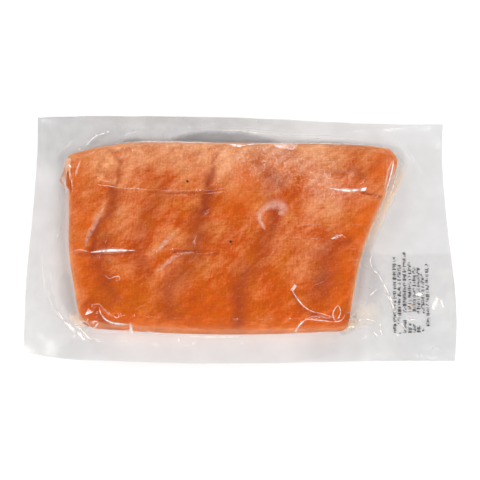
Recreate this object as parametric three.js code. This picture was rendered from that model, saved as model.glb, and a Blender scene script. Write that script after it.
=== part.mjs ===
import * as THREE from "three";

// A skinless salmon portion, vacuum packed in a clear pouch that lies on its flat back.
// Millimetres: +X runs along the pouch, +Y towards its far edge and +Z up. The back lies at z = 0.
// The four sides go round the pack in the order near, right, far, left, and corner i starts side i.

// Driving dimensions
const POUCH_LENGTH = 196;
const POUCH_WIDTH = 120;
const FILM_THICKNESS = 0.6;
const FLESH_THICKNESS = 15.5;
const THINNER_TO_THE_RIGHT = 0.024;
const THINNER_TO_THE_FAR_SIDE = 0.008;
const SHOULDER_RADIUS = 5.5;
const SHOULDER_REACH = 9;
const WALL_DRAFT = 0.9;
const LEAST_WALL = 0.5;

// The cut film: how far each corner lies inside the true rectangle, along x and along y, and how far the
// handles at one third and two thirds of each edge stand out from it
const CORNER_INSETS = [
  [1, 2.4],
  [0.9, 0.2],
  [0.4, 3],
  [0.8, -0.2],
];
const EDGE_BOWS = [
  [4.2, 0.4],
  [6, -5],
  [-1.6, 3.8],
  [-2.6, 5.2],
];

// The flesh in plan: each corner's place, how far its rounding reaches, and whether a side starts there
const FLESH_CORNERS = [
  { x: -72.5, y: -44.4, round: 7, startsSide: true },
  { x: -15, y: -48.8, round: 40, startsSide: false },
  { x: 49.2, y: -46.2, round: 4.5, startsSide: true },
  { x: 56, y: -8, round: 20, startsSide: false },
  { x: 75.6, y: 36, round: 3.5, startsSide: false },
  { x: 71, y: 42.8, round: 3.5, startsSide: true },
  { x: 52, y: 44.4, round: 12, startsSide: false },
  { x: -54, y: 45, round: 16, startsSide: false },
  { x: -82.6, y: 37.6, round: 5, startsSide: true },
  { x: -79.6, y: 12, round: 10, startsSide: false },
  { x: -79.2, y: -10, round: 10, startsSide: false },
];

// Round the pack, at its corners and at the middles of its sides: how far the film slopes out from the foot
// of the flesh, how high the cut edge curls off the table, and the wave along each edge
const SLOPE_REACH = { corners: [9, 13, 9, 12], middles: [5, 7, 11, 13] };
const EDGE_CURL = { corners: [1, 2.4, 3, 4.2], middles: [0.4, 2, 5, 1.4] };
const EDGE_WAVES = [0.8, 1.1, -0.4, 0.4];
const WAVES_TO_A_SIDE = 1.5;
const SLOPE_STEEPNESS = 0.72;
const SLOPE_HOLLOW = 2.3;
const CURL_HOLLOW = 1.9;

// The near left corner of the film turns up: how high its tip stands, and how far from it the lift starts
const TIP_LIFT = 9;
const TIP_REACH = 24;

// Pleats where the slack film gathers at the foot of the flesh
const PLEAT_HEIGHT = 0.7;
const PLEAT_LENGTH = 13;

// Soft valleys in the flesh between its muscle bands: start, bend and end in plan
const VALLEYS = [
  { start: [-58, 42], bend: [-54, 14], end: [-68, -14], depth: 1.3, width: 4.6 },
  { start: [-11, 43], bend: [-11, 16], end: [-31, -16], depth: 1.2, width: 4.2 },
  { start: [14, 12], bend: [3, -16], end: [1, -46], depth: 1, width: 4.8 },
  { start: [52, 20], bend: [46, -8], end: [34, -34], depth: 1, width: 4.8 },
];
const VALLEY_FADE = 0.08;

// The slow swell of the top of the flesh
const SWELL_HEIGHT = 0.45;
const SWELL_LENGTH = 41;
const SWELL_BREADTH = 57;
const SWELL_START = 4.5;

// How finely the surface is divided
const LENGTH_STEPS = 46;
const WIDTH_STEPS = 28;
const SHOULDER_STEPS = 3;
const SLOPE_STEPS = 4;
const MARGIN_STEPS = 4;
const BEND_STEPS = 8;
const EDGE_STEPS = 32;
const VALLEY_STEPS = 24;

const { lerp, clamp, smoothstep } = THREE.MathUtils;
const FULL_TURN = 2 * Math.PI;
const SIDE_STEPS = [LENGTH_STEPS, WIDTH_STEPS, LENGTH_STEPS, WIDTH_STEPS];
const ROUND_STEPS = 2 * (LENGTH_STEPS + WIDTH_STEPS);

// The points at equal steps along a line of short stretches, without its last point.
function spaced(points, steps) {
  const line = new THREE.CurvePath();
  points.slice(1).forEach((point, i) => {
    line.add(new THREE.LineCurve(points[i], point));
  });
  return Array.from({ length: steps }, (_, i) => line.getPoint(i / steps));
}

// The sides of an outline with rounded corners. A side runs from the middle of one marked rounding to the
// middle of the next.
function roundedSides(corners) {
  const half = BEND_STEPS / 2;
  const bends = corners.map((corner, i) => {
    const tip = new THREE.Vector2(corner.x, corner.y);
    const reachTo = ({ x, y }) => new THREE.Vector2(x, y).sub(tip).setLength(corner.round).add(tip);
    const entry = reachTo(corners.at(i - 1));
    const exit = reachTo(corners[(i + 1) % corners.length]);
    return new THREE.QuadraticBezierCurve(entry, tip, exit).getPoints(BEND_STEPS);
  });
  const starts = [...corners.keys()].filter((i) => corners[i].startsSide);
  return starts.map((start, side) => {
    const end = starts[side + 1] ?? corners.length;
    return [
      ...bends[start].slice(half),
      ...bends.slice(start + 1, end).flat(),
      ...bends[end % corners.length].slice(0, half + 1),
    ];
  });
}

// The four edges of the cut film, each a slightly bowed line between two corners.
function filmEdges() {
  const signs = [
    [-1, -1],
    [1, -1],
    [1, 1],
    [-1, 1],
  ];
  const corners = signs.map(([signX, signY], i) => {
    const [insetX, insetY] = CORNER_INSETS[i];
    return new THREE.Vector2(signX * (POUCH_LENGTH / 2 - insetX), signY * (POUCH_WIDTH / 2 - insetY));
  });
  return corners.map((start, i) => {
    const end = corners[(i + 1) % corners.length];
    const outward = new THREE.Vector2(end.y - start.y, start.x - end.x).normalize();
    const [early, late] = EDGE_BOWS[i].map((bow, third) =>
      start.clone().lerp(end, (third + 1) / 3).addScaledVector(outward, bow),
    );
    return new THREE.CubicBezierCurve(start, early, late, end).getPoints(EDGE_STEPS);
  });
}

// A value that changes smoothly round the pack, at a share of the way along one side.
function roundThePack({ corners, middles }, side, share) {
  const next = corners[(side + 1) % corners.length];
  return share < 0.5
    ? lerp(corners[side], middles[side], smoothstep(share, 0, 0.5))
    : lerp(middles[side], next, smoothstep(share, 0.5, 1));
}

const valleyLines = VALLEYS.map(({ start, bend, end }) => {
  const points = [start, bend, end].map(([x, y]) => new THREE.Vector2(x, y));
  return new THREE.QuadraticBezierCurve(...points).getPoints(VALLEY_STEPS);
});

// How deep the valleys are at a place in plan. Each is deepest half way along.
function valleyDepth(place) {
  return VALLEYS.reduce((sum, { depth, width }, i) => {
    const distances = valleyLines[i].map((point) => point.distanceTo(place));
    const nearest = Math.min(...distances);
    const along = clamp(distances.indexOf(nearest) / VALLEY_STEPS, VALLEY_FADE, 1 - VALLEY_FADE);
    const fading = Math.sqrt(Math.sin(Math.PI * along));
    return sum + depth * fading * Math.exp(-((nearest / width) ** 2));
  }, 0);
}

// The height of the top of the packed flesh.
function fleshTop(place) {
  const slope = THINNER_TO_THE_RIGHT * place.x + THINNER_TO_THE_FAR_SIDE * place.y;
  const swell =
    Math.sin((FULL_TURN * (place.x + SWELL_START)) / SWELL_LENGTH) *
    Math.cos((FULL_TURN * place.y) / SWELL_BREADTH);
  return FLESH_THICKNESS - slope + SWELL_HEIGHT * swell - valleyDepth(place);
}

const fleshSides = roundedSides(FLESH_CORNERS).map((points, i) => spaced(points, SIDE_STEPS[i]));
const filmSides = filmEdges().map((points, i) => spaced(points, SIDE_STEPS[i]));
const fleshReach = {
  x: Math.max(...fleshSides.flat().map((point) => Math.abs(point.x))),
  y: Math.max(...fleshSides.flat().map((point) => Math.abs(point.y))),
};

// A point of the flesh's outline, moved inwards.
function inset(point, distance) {
  const { x, y } = fleshReach;
  return new THREE.Vector2(point.x * (1 - distance / x), point.y * (1 - distance / y));
}

// The places round the pack. Each has its point at the foot of the flesh, the point of the cut edge that
// belongs to it, and the values there.
const places = fleshSides.flatMap((points, side) =>
  points.map((foot, i) => {
    const share = i / SIDE_STEPS[side];
    const edge = filmSides[side][i];
    const reach = roundThePack(SLOPE_REACH, side, share);
    const wave = Math.sin(FULL_TURN * WAVES_TO_A_SIDE * share) * Math.sin(Math.PI * share);
    const tipNearness = Math.max(0, 1 - edge.distanceTo(filmSides[0][0]) / TIP_REACH);
    const shoulderTop = fleshTop(inset(foot, SHOULDER_RADIUS));
    return {
      foot,
      edge,
      reach,
      outward: edge.clone().sub(foot).normalize(),
      curl:
        Math.max(0, roundThePack(EDGE_CURL, side, share) + EDGE_WAVES[side] * wave) +
        TIP_LIFT * tipNearness ** 2,
      shoulderTop,
      slopeTop: Math.min(SLOPE_STEEPNESS * reach, shoulderTop - SHOULDER_RADIUS - LEAST_WALL),
    };
  }),
);
const roundLength = places.reduce(
  (sum, { foot }, i) => sum + foot.distanceTo(places[(i + 1) % ROUND_STEPS].foot),
  0,
);
const pleatCount = Math.round(roundLength / PLEAT_LENGTH);

function raised({ x, y }, z) {
  return new THREE.Vector3(x, y, z);
}

// The ring where the flat top of the flesh ends, and the rings over its rounded shoulder.
function shoulderRings() {
  const rim = places.map(({ foot }) => {
    const plan = inset(foot, SHOULDER_REACH);
    return raised(plan, fleshTop(plan));
  });
  const shoulder = Array.from({ length: SHOULDER_STEPS + 1 }, (_, i) => {
    const angle = (Math.PI / 2) * (i / SHOULDER_STEPS);
    const drop = SHOULDER_RADIUS * (1 - Math.cos(angle));
    return places.map(({ foot, shoulderTop }) =>
      raised(inset(foot, SHOULDER_RADIUS * (1 - Math.sin(angle))), shoulderTop - drop),
    );
  });
  return [rim, ...shoulder];
}

// The rings of the film that slopes from the wall of the flesh down to the sealed margin.
function slopeRings() {
  return Array.from({ length: SLOPE_STEPS + 1 }, (_, i) => {
    const share = i / SLOPE_STEPS;
    return places.map(({ foot, outward, reach, slopeTop }, k) => {
      const plan = foot.clone().addScaledVector(outward, lerp(WALL_DRAFT, reach, share));
      const height = (slopeTop - FILM_THICKNESS) * (1 - share) ** SLOPE_HOLLOW;
      const pleat = Math.sin((FULL_TURN * pleatCount * k) / ROUND_STEPS) * Math.sin(Math.PI * share);
      const slack = PLEAT_HEIGHT * share * (pleat + 1 - share);
      return raised(plan, FILM_THICKNESS + height + slack);
    });
  });
}

// The rings of the sealed margin, from the end of the slope to the cut edge, at a height above its back.
function marginRings(above) {
  return Array.from({ length: MARGIN_STEPS }, (_, i) => {
    const share = (i + 1) / MARGIN_STEPS;
    return places.map(({ foot, edge, outward, reach, curl }) => {
      const plan = foot.clone().addScaledVector(outward, reach).lerp(edge, share);
      return raised(plan, curl * share ** CURL_HOLLOW + above);
    });
  });
}

// The rings of the back, which lies flat inside the end of the slope.
function backRings() {
  const flat = places.map(({ foot, outward, reach }) =>
    raised(foot.clone().addScaledVector(outward, reach), 0),
  );
  return [flat, ...marginRings(0)];
}

// The rows of points on the top of the flesh, spread evenly between the four sides of its rim.
function topRows(rim) {
  const starts = SIDE_STEPS.map((_, i) => SIDE_STEPS.slice(0, i).reduce((sum, steps) => sum + steps, 0));
  const [near, right, far, left] = starts.map((start) => (i) => rim[(start + i) % ROUND_STEPS]);
  const corners = [near(0), near(LENGTH_STEPS), far(LENGTH_STEPS), far(0)];
  return Array.from({ length: WIDTH_STEPS + 1 }, (_, row) =>
    Array.from({ length: LENGTH_STEPS + 1 }, (_, column) => {
      const [s, t] = [column / LENGTH_STEPS, row / WIDTH_STEPS];
      const blend = (axis) => {
        const [nearLeft, nearRight, farLeft, farRight] = corners.map((corner) => corner[axis]);
        return (
          lerp(near(column)[axis], far(LENGTH_STEPS - column)[axis], t) +
          lerp(left(WIDTH_STEPS - row)[axis], right(row)[axis], s) -
          lerp(lerp(nearLeft, nearRight, s), lerp(farLeft, farRight, s), t)
        );
      };
      const plan = new THREE.Vector2(blend("x"), blend("y"));
      return raised(plan, fleshTop(plan));
    }),
  );
}

// Collects points and triangles, and hands them over as one closed surface.
class Surface {
  positions = [];
  triangles = [];

  add(points) {
    const first = this.positions.length / 3;
    points.forEach(({ x, y, z }) => this.positions.push(x, y, z));
    return points.map((_, i) => first + i);
  }

  quad(a, b, c, d) {
    this.triangles.push(a, b, c, a, c, d);
  }

  // The bands between rings that follow each other over the top, round the cut edge and along the back.
  bands(rings) {
    rings.slice(1).forEach((outer, i) => {
      const inner = rings[i];
      inner.forEach((corner, k) => {
        const next = (k + 1) % inner.length;
        this.quad(outer[k], outer[next], inner[next], corner);
      });
    });
  }

  geometry() {
    const made = new THREE.BufferGeometry();
    made.setAttribute("position", new THREE.Float32BufferAttribute(this.positions, 3));
    made.setIndex(this.triangles);
    made.computeVertexNormals();
    return made;
  }
}

function pouchGeometry() {
  const surface = new Surface();
  const [rim, ...overTheEdge] = shoulderRings();
  const rows = topRows(rim).map((row) => surface.add(row));
  rows.slice(1).forEach((upper, row) => {
    const lower = rows[row];
    for (let i = 0; i < LENGTH_STEPS; i++) {
      surface.quad(lower[i], lower[i + 1], upper[i + 1], upper[i]);
    }
  });
  const border = [
    ...rows[0].slice(0, -1),
    ...rows.slice(0, -1).map((row) => row.at(-1)),
    ...rows.at(-1).slice(1).reverse(),
    ...rows.slice(1).map((row) => row[0]).reverse(),
  ];
  const outside = [...overTheEdge, ...slopeRings(), ...marginRings(FILM_THICKNESS)];
  const top = [border, ...outside.map((ring) => surface.add(ring))];
  const backPoints = backRings();
  const back = backPoints.map((ring) => surface.add(ring));
  surface.bands([...top, ...back.toReversed()]);

  const flat = backPoints[0].map(({ x, y }) => new THREE.Vector2(x, y));
  THREE.ShapeUtils.triangulateShape(flat, []).forEach(([a, b, c]) => {
    surface.triangles.push(back[0][a], back[0][c], back[0][b]);
  });
  return surface.geometry();
}

const fleshThroughFilm = new THREE.MeshStandardMaterial({ color: 0xd4693a, roughness: 0.35, metalness: 0 });

const sealedPouch = new THREE.Mesh(pouchGeometry(), fleshThroughFilm);
sealedPouch.name = "sealed_pouch";
const middle = new THREE.Box3().setFromObject(sealedPouch).getCenter(new THREE.Vector3());
sealedPouch.position.set(-middle.x, -middle.y, 0);

const pack = new THREE.Group();
pack.add(sealedPouch);

export default pack;
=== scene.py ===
import functools
import math

import bpy
import numpy as np
from bpy.props import FloatProperty, FloatVectorProperty, PointerProperty
from bpy.types import Operator, Panel, PropertyGroup
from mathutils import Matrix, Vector
from mathutils.bvhtree import BVHTree


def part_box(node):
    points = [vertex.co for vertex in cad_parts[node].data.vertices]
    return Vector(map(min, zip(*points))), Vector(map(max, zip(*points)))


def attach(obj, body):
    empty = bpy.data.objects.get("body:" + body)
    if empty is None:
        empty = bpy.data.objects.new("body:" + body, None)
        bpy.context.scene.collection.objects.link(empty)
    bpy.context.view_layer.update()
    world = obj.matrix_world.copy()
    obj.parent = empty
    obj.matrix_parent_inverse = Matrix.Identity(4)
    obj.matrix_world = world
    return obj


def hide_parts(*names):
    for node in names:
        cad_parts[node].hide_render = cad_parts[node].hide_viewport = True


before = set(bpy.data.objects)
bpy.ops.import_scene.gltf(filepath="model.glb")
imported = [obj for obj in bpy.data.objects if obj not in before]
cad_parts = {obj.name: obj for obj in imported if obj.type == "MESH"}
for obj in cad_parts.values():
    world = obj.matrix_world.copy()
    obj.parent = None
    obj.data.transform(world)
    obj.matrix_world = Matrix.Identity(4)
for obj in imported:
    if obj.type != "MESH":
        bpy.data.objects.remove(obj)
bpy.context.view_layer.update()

bl_info = {
    "name": "Salmon portion in a vacuum pouch",
    "version": (1, 0, 0),
    "blender": (4, 5, 0),
    "location": "3D View > Sidebar > Salmon",
    "description": "Makes a skinless salmon portion, its clear pouch and a plain studio round them",
    "category": "Add Mesh",
}

# Lengths here are millimetres. +X runs along the pouch, +Y towards its far edge and +Z up from its back.
# The four sides go round the pack in the order near, right, far, left, and corner i starts side i.
MM = 0.001
NODE = "sealed_pouch"
FULL_TURN = 2 * math.pi

# The form of the pack, as its solid has it. The flesh loses a share of each millimetre along X and Y, its
# shoulder is rounded, and the patch on its top ends SHOULDER_REACH in from its wall.
POUCH_LENGTH = 196
POUCH_WIDTH = 120
MARGIN_THICKNESS = 0.6
FLESH_THICKNESS = 15.5
THINNER_TO_THE_RIGHT = 0.024
THINNER_TO_THE_FAR_SIDE = 0.008
SHOULDER_RADIUS = 5.5
SHOULDER_REACH = 9
WALL_DRAFT = 0.9
LEAST_WALL = 0.5
# How far each corner of the cut film is drawn in along X and Y, and how far each edge bows out at its thirds
CORNER_INSETS = ((1, 2.4), (0.9, 0.2), (0.4, 3), (0.8, -0.2))
EDGE_BOWS = ((4.2, 0.4), (6, -5), (-1.6, 3.8), (-2.6, 5.2))

# The flesh in plan: each corner's place, how far its rounding reaches, and whether a side starts there
FLESH_CORNERS = (
    (-72.5, -44.4, 7, True),
    (-15, -48.8, 40, False),
    (49.2, -46.2, 4.5, True),
    (56, -8, 20, False),
    (75.6, 36, 3.5, False),
    (71, 42.8, 3.5, True),
    (52, 44.4, 12, False),
    (-54, 45, 16, False),
    (-82.6, 37.6, 5, True),
    (-79.6, 12, 10, False),
    (-79.2, -10, 10, False),
)

# Round the pack: the values at its four corners, then at the middles of its four sides. SLOPE_REACH is how
# far the film comes down beside the flesh, and EDGE_CURL how high the cut edge curls up.
SLOPE_REACH = ((9, 13, 9, 12), (5, 7, 11, 13))
EDGE_CURL = ((1, 2.4, 3, 4.2), (0.4, 2, 5, 1.4))
# The height of the waves in each of the four edges
EDGE_WAVES = (0.8, 1.1, -0.4, 0.4)
WAVES_TO_A_SIDE = 1.5
# How high the film leaves the wall as a share of its reach, and how hollow the slope and the curl are
SLOPE_STEEPNESS = 0.72
SLOPE_HOLLOW = 2.3
CURL_HOLLOW = 1.9
# How much more the film's near left corner turns up, and how far round it
TIP_LIFT = 9
TIP_REACH = 24
# Small pleats down the slope, and the broad swell of the flesh
PLEAT_HEIGHT = 0.7
PLEAT_LENGTH = 13
SWELL_HEIGHT = 0.45
SWELL_LENGTH = 41
SWELL_BREADTH = 57
SWELL_START = 4.5

# Soft valleys between the muscle bands: start, bend and end in plan, then depth and width
VALLEYS = (
    ((-58, 42), (-54, 14), (-68, -14), 1.3, 4.6),
    ((-11, 43), (-11, 16), (-31, -16), 1.2, 4.2),
    ((14, 12), (3, -16), (1, -46), 1, 4.8),
    ((52, 20), (46, -8), (34, -34), 1, 4.8),
)
# The share of a valley at each end over which it doesn't get shallower
VALLEY_FADE = 0.08

# Uneven surfaces: the height of the waves, then their length, how many there are and the seed. The length of
# each wave lies between two shares of that.
WAVE_SPREAD = (0.7, 1.4)
FLESH_LUMPS = ((0.16, 12, 9, 3), (0.07, 5, 9, 4))
MARGIN_WAVES = (0.16, 17, 7, 5)
SLACK_CREASES = (0.35, 7, 6, 11)
# How much of the slack film stands off, and how fast that fades over the margin
SLACK_SHARE = 0.4
SLACK_FADE = 2.5
# How high the raised lines of tissue stand, and how deep the furrows are
RAISED_HEIGHT = 0.35
FURROW_DEPTH = 0.6

# How finely lines and skins are divided
LENGTH_STEPS = 210
WIDTH_STEPS = 120
SHOULDER_STEPS = 6
SLOPE_STEPS = 8
MARGIN_STEPS = 18
BEND_STEPS = 8
EDGE_STEPS = 32
WALL_STEPS = 10
FOOT_STEPS = 4
LINE_STEPS = 40
FACET_STEPS = 6
FLAP_STEPS = 8

# The gap between the film and the flesh, and how far the flesh's foot is rounded
FILM_GAP = 0.12
WALL_FOOT = 2.2

# The marks of the flesh in plan: points, half width and strength. First, the deep bands of muscle, darker
# flesh with painted shade along the valleys between them.
BANDS_AND_SHADE = (
    (((-60.7, 39.3), (-58.4, 38), (-52.7, 37.8), (-50.4, 36.6)), 1.6, 0.5),
    (((-59.4, 36), (-56.6, 33.7), (-57.1, 28.4), (-56.8, 21.7)), 1.3, 0.75),
    (((-66.3, 26.6), (-62.4, 26.2), (-58.1, 27.1)), 2.2, 0.4),
    (((-58.8, 19), (-58.2, 14.2), (-58.9, 8.8), (-60.4, 6)), 2.8, 0.85),
    (((-60.4, 7), (-62.9, 3.3), (-65, -1.8), (-66.2, -7), (-67.2, -13)), 2.2, 0.95),
    (((-62, -6), (-64, -16), (-61.5, -26), (-58, -34)), 4.5, 0.62),
    (((-63.8, 36.5), (-65.5, 26.5)), 3, 0.35),
    (((-11.8, 37.2), (-12.1, 32.9), (-12.6, 28.1)), 1.1, 0.65),
    (((-13, 29), (-14.5, 24.5), (-16.4, 19.5)), 2.5, 0.85),
    (((-15.7, 18), (-16.4, 12), (-17, 8.6)), 3.4, 1),
    (((-17.2, 8), (-18.4, 4), (-20.2, 0)), 4.2, 0.6),
    (((-19, -2), (-21, -12), (-26.1, -21.5), (-31, -30), (-32, -40)), 5.5, 0.65),
    (((-34.8, 19), (-38.4, 14), (-42, 7.8), (-45, -5.4), (-46.4, -12), (-42.5, -22)), 4.5, 0.45),
    (((8.2, 33.1), (11.6, 28.8), (13.8, 25.7), (18.8, 22.7)), 3.4, 0.75),
    (((8, 39), (16, 38.5), (24, 37.5)), 6.5, 0.52),
    (((13, 22), (13.5, 18), (14.6, 13)), 4, 0.4),
    (((15.2, 8.5), (15.9, 1.5), (12.8, -2.7)), 3, 0.7),
    (((12, -4), (9, -12), (4, -24)), 4.5, 0.62),
    (((3, -20), (0, -32), (-1, -46)), 4, 0.72),
    (((44.6, 27.9), (51.4, 28.1), (56.9, 26.8)), 2.2, 0.55),
    (((40.2, -9.8), (44.2, -7.8), (50.5, -6)), 2.2, 0.6),
    (((41, -10), (38.6, -20), (36, -30)), 6.5, 0.62),
    (((62, 31), (66, 35)), 2.5, 0.3),
)
# Narrow furrows between the flakes, also darkened with painted shade
FURROWS = (
    (((-42, 17.2), (-38, 17), (-29.8, 16.6), (-23.6, 16.9), (-18, 17.6)), 0.7, 0.8),
    (((-74, -13.6), (-68.4, -14), (-60, -13.4), (-50, -13)), 1, 0.7),
    (((-30.5, -11.9), (-26, -11.6), (-21.9, -11.5), (-19.6, -11.9)), 0.6, 1),
    (((-19.1, -12.4), (-14.6, -13.6), (-10.5, -12.9)), 0.6, 0.5),
    (((56.7, 18), (60.7, 16.9), (64.7, 16.1), (67.4, 16.7)), 0.8, 1),
    (((24.2, -30.6), (25.2, -35), (29, -39.8), (34, -42)), 1.2, 0.6),
    (((34, -41.6), (38, -43.2), (42, -44)), 0.7, 0.8),
    (((-64.5, -40.5), (-62.6, -43.6), (-58, -46)), 1.2, 0.8),
    (((-69.5, -38), (-66.5, -35.2), (-62, -37.5)), 1.4, 0.5),
    (((-1, -18), (-4, -22.5), (-2, -31)), 1.4, 0.35),
    (((-80, 28), (-80.5, 25), (-79.5, 21)), 1.3, 1),
    (((-11.9, 40.6), (-9.8, 40.6), (-7.7, 40.1)), 0.8, 0.7),
    (((-22.2, -7), (-22.2, -10)), 1.2, 0.4),
)
# Pale lines of tissue that stand up a little, with a painted soft highlight along them
RAISED_PALES_AND_SHEEN = (
    (((-62.2, 10.1), (-64.7, 4.9), (-67.2, -0.6), (-69.3, -5.1), (-70.1, -9.5)), 1.8, 1),
    (((-29.9, -3.4), (-32.4, -5.9), (-35.5, -9.3), (-38.6, -13.2)), 1.9, 0.95),
    (
        ((-20.9, -12.9), (-25.5, -13.6), (-29.6, -14.9), (-32.3, -17.2), (-34.9, -20), (-37.6, -22.2)),
        1.2, 0.7,
    ),
    (((-32, -3.4), (-35.6, -6.9), (-36.9, -9.8)), 1.2, 0.4),
    (((-54.8, 16), (-55.2, 6), (-54, -3)), 3, 0.5),
    (((-58, -18), (-53.4, -21.5), (-49, -24)), 3.6, 0.5),
)
# Pale patches, and more of the fat between the flakes; some are painted highlights along folds and lit rims
PALES_AND_SHEEN = (
    (((-55.5, 31.3), (-54, 27.5), (-54.5, 21.6)), 1.8, 0.5),
    (((-22.4, 36.9), (-16.8, 34.4), (-15.7, 28.6)), 2.4, 0.5),
    (((-10, 36), (-9.3, 28.7), (-8.8, 22.5)), 1.7, 0.5),
    (((-50, 42), (-30, 42.5), (-8, 42.5), (20, 41), (40, 41)), 5, 0.8),
    (((-46, 32), (-36, 33), (-26, 30)), 6, 0.4),
    (((-6, 38), (-4, 28), (-3, 20)), 6, 0.6),
    (((-62, 33), (-59.8, 31.4), (-58.4, 30.6)), 2, 0.8),
    (((-66.5, 24.4), (-62, 22.6), (-57.6, 21.4)), 1.6, 0.8),
    (((24, 30), (32, 24), (34, 14)), 10, 0.2),
    (((36, 36), (48, 37), (60, 37)), 5, 0.35),
    (((22, -4), (27, -12), (25, -20)), 7, 0.3),
    (((-45, -26), (-38, -33), (-40, -40)), 5, 0.35),
    (((6.5, -41), (11.3, -44), (14, -47)), 1.6, 0.6),
    (((-11, -2), (-6, -4), (0, -2)), 5, 0.35),
    (((-74, -35), (-67, -34), (-60, -36)), 2.2, 0.5),
    (((70.4, 33), (69.3, 27), (68, 20)), 1.6, 0.9),
    (((-74.8, -2), (-74.8, -12), (-74.2, -22), (-72, -35)), 3.6, 1),
    (((-40, -47), (-30, -47.6), (-20, -48)), 1.2, 0.6),
)
# The most orange flesh
GLOWS = (
    (((2.1, 28.9), (6, 24.7), (2.6, 22.1)), 3.5, 0.7),
    (((64.4, 34.6), (67.9, 37.2), (70.4, 38.9)), 2.5, 0.9),
    (((-70, -34), (-40, -36), (-10, -38), (14, -34)), 13, 0.4),
    (((30, -34), (44, -30)), 10, 0.3),
    (((-62, -44), (-20, -46.5), (20, -46.5), (44, -44)), 3.5, 0.7),
    (((-71, 4), (-72, -12), (-70, -27)), 6, 0.75),
    (((-50, -34), (-46, -43), (-30, -44)), 6, 0.55),
    (((-16, -36), (-10, -42), (4, -40)), 8, 0.8),
    (((6, -24), (2, -30)), 7, 0.5),
    (((46, -16), (45, -26), (44, -34)), 7, 0.9),
    (((50, -6), (56, 2), (62, 10)), 5, 0.9),
    (((64, 30), (69, 36)), 5, 0.9),
    (((2, 26), (3, 16), (-4, 8)), 6, 0.6),
    (((-76, 30), (-76, 14)), 4, 0.5),
    (((20, -44), (34, -45)), 4, 0.6),
)
# How pale the flesh is at places from its near edge to its far edge
PALENESS = ((-46, 0.03), (-22, 0.1), (4, 0.14), (24, 0.23), (40, 0.52))

# Where a whitish bloom lies on the flesh: points, half width and strength
BLOOMS = (
    (((4, 36), (16, 33), (30, 29), (40, 22)), 11, 0.86),
    (((28, 16), (38, 8), (40, 0)), 9, 0.2),
    (((-50, 40), (-30, 40), (-10, 38)), 9, 0.4),
    (((30, -6), (34, -16), (36, -24)), 8, 0.12),
)

# How far the marks wander from their outlines: the length of the waves and how far each shifts them
WANDER = ((24, 1.1), (8, 0.9), (3.5, 0.5))
WANDER_WAVES = 7
WANDER_SEED = 21

# How the marks shift the flesh's paleness, which also carries painted highlights
PALES_AND_SHEEN_SHARE = 0.35
BLOOM_SHARE = 0.05
GLOW_SHARE = -0.12

# The colour of the cut sides, partly the paler cut flesh and partly painted light that lightens them: how
# far below the top it starts, how far below it is full, and its strength, each for most of the flesh and
# then for its near side, which begins between two distances from the middle
SIDE_START = (0.6, 2)
SIDE_FULL = (4, 7)
SIDE_STRENGTH = (1, 0.6)
NEAR_SIDE = (36, 44)
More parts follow.
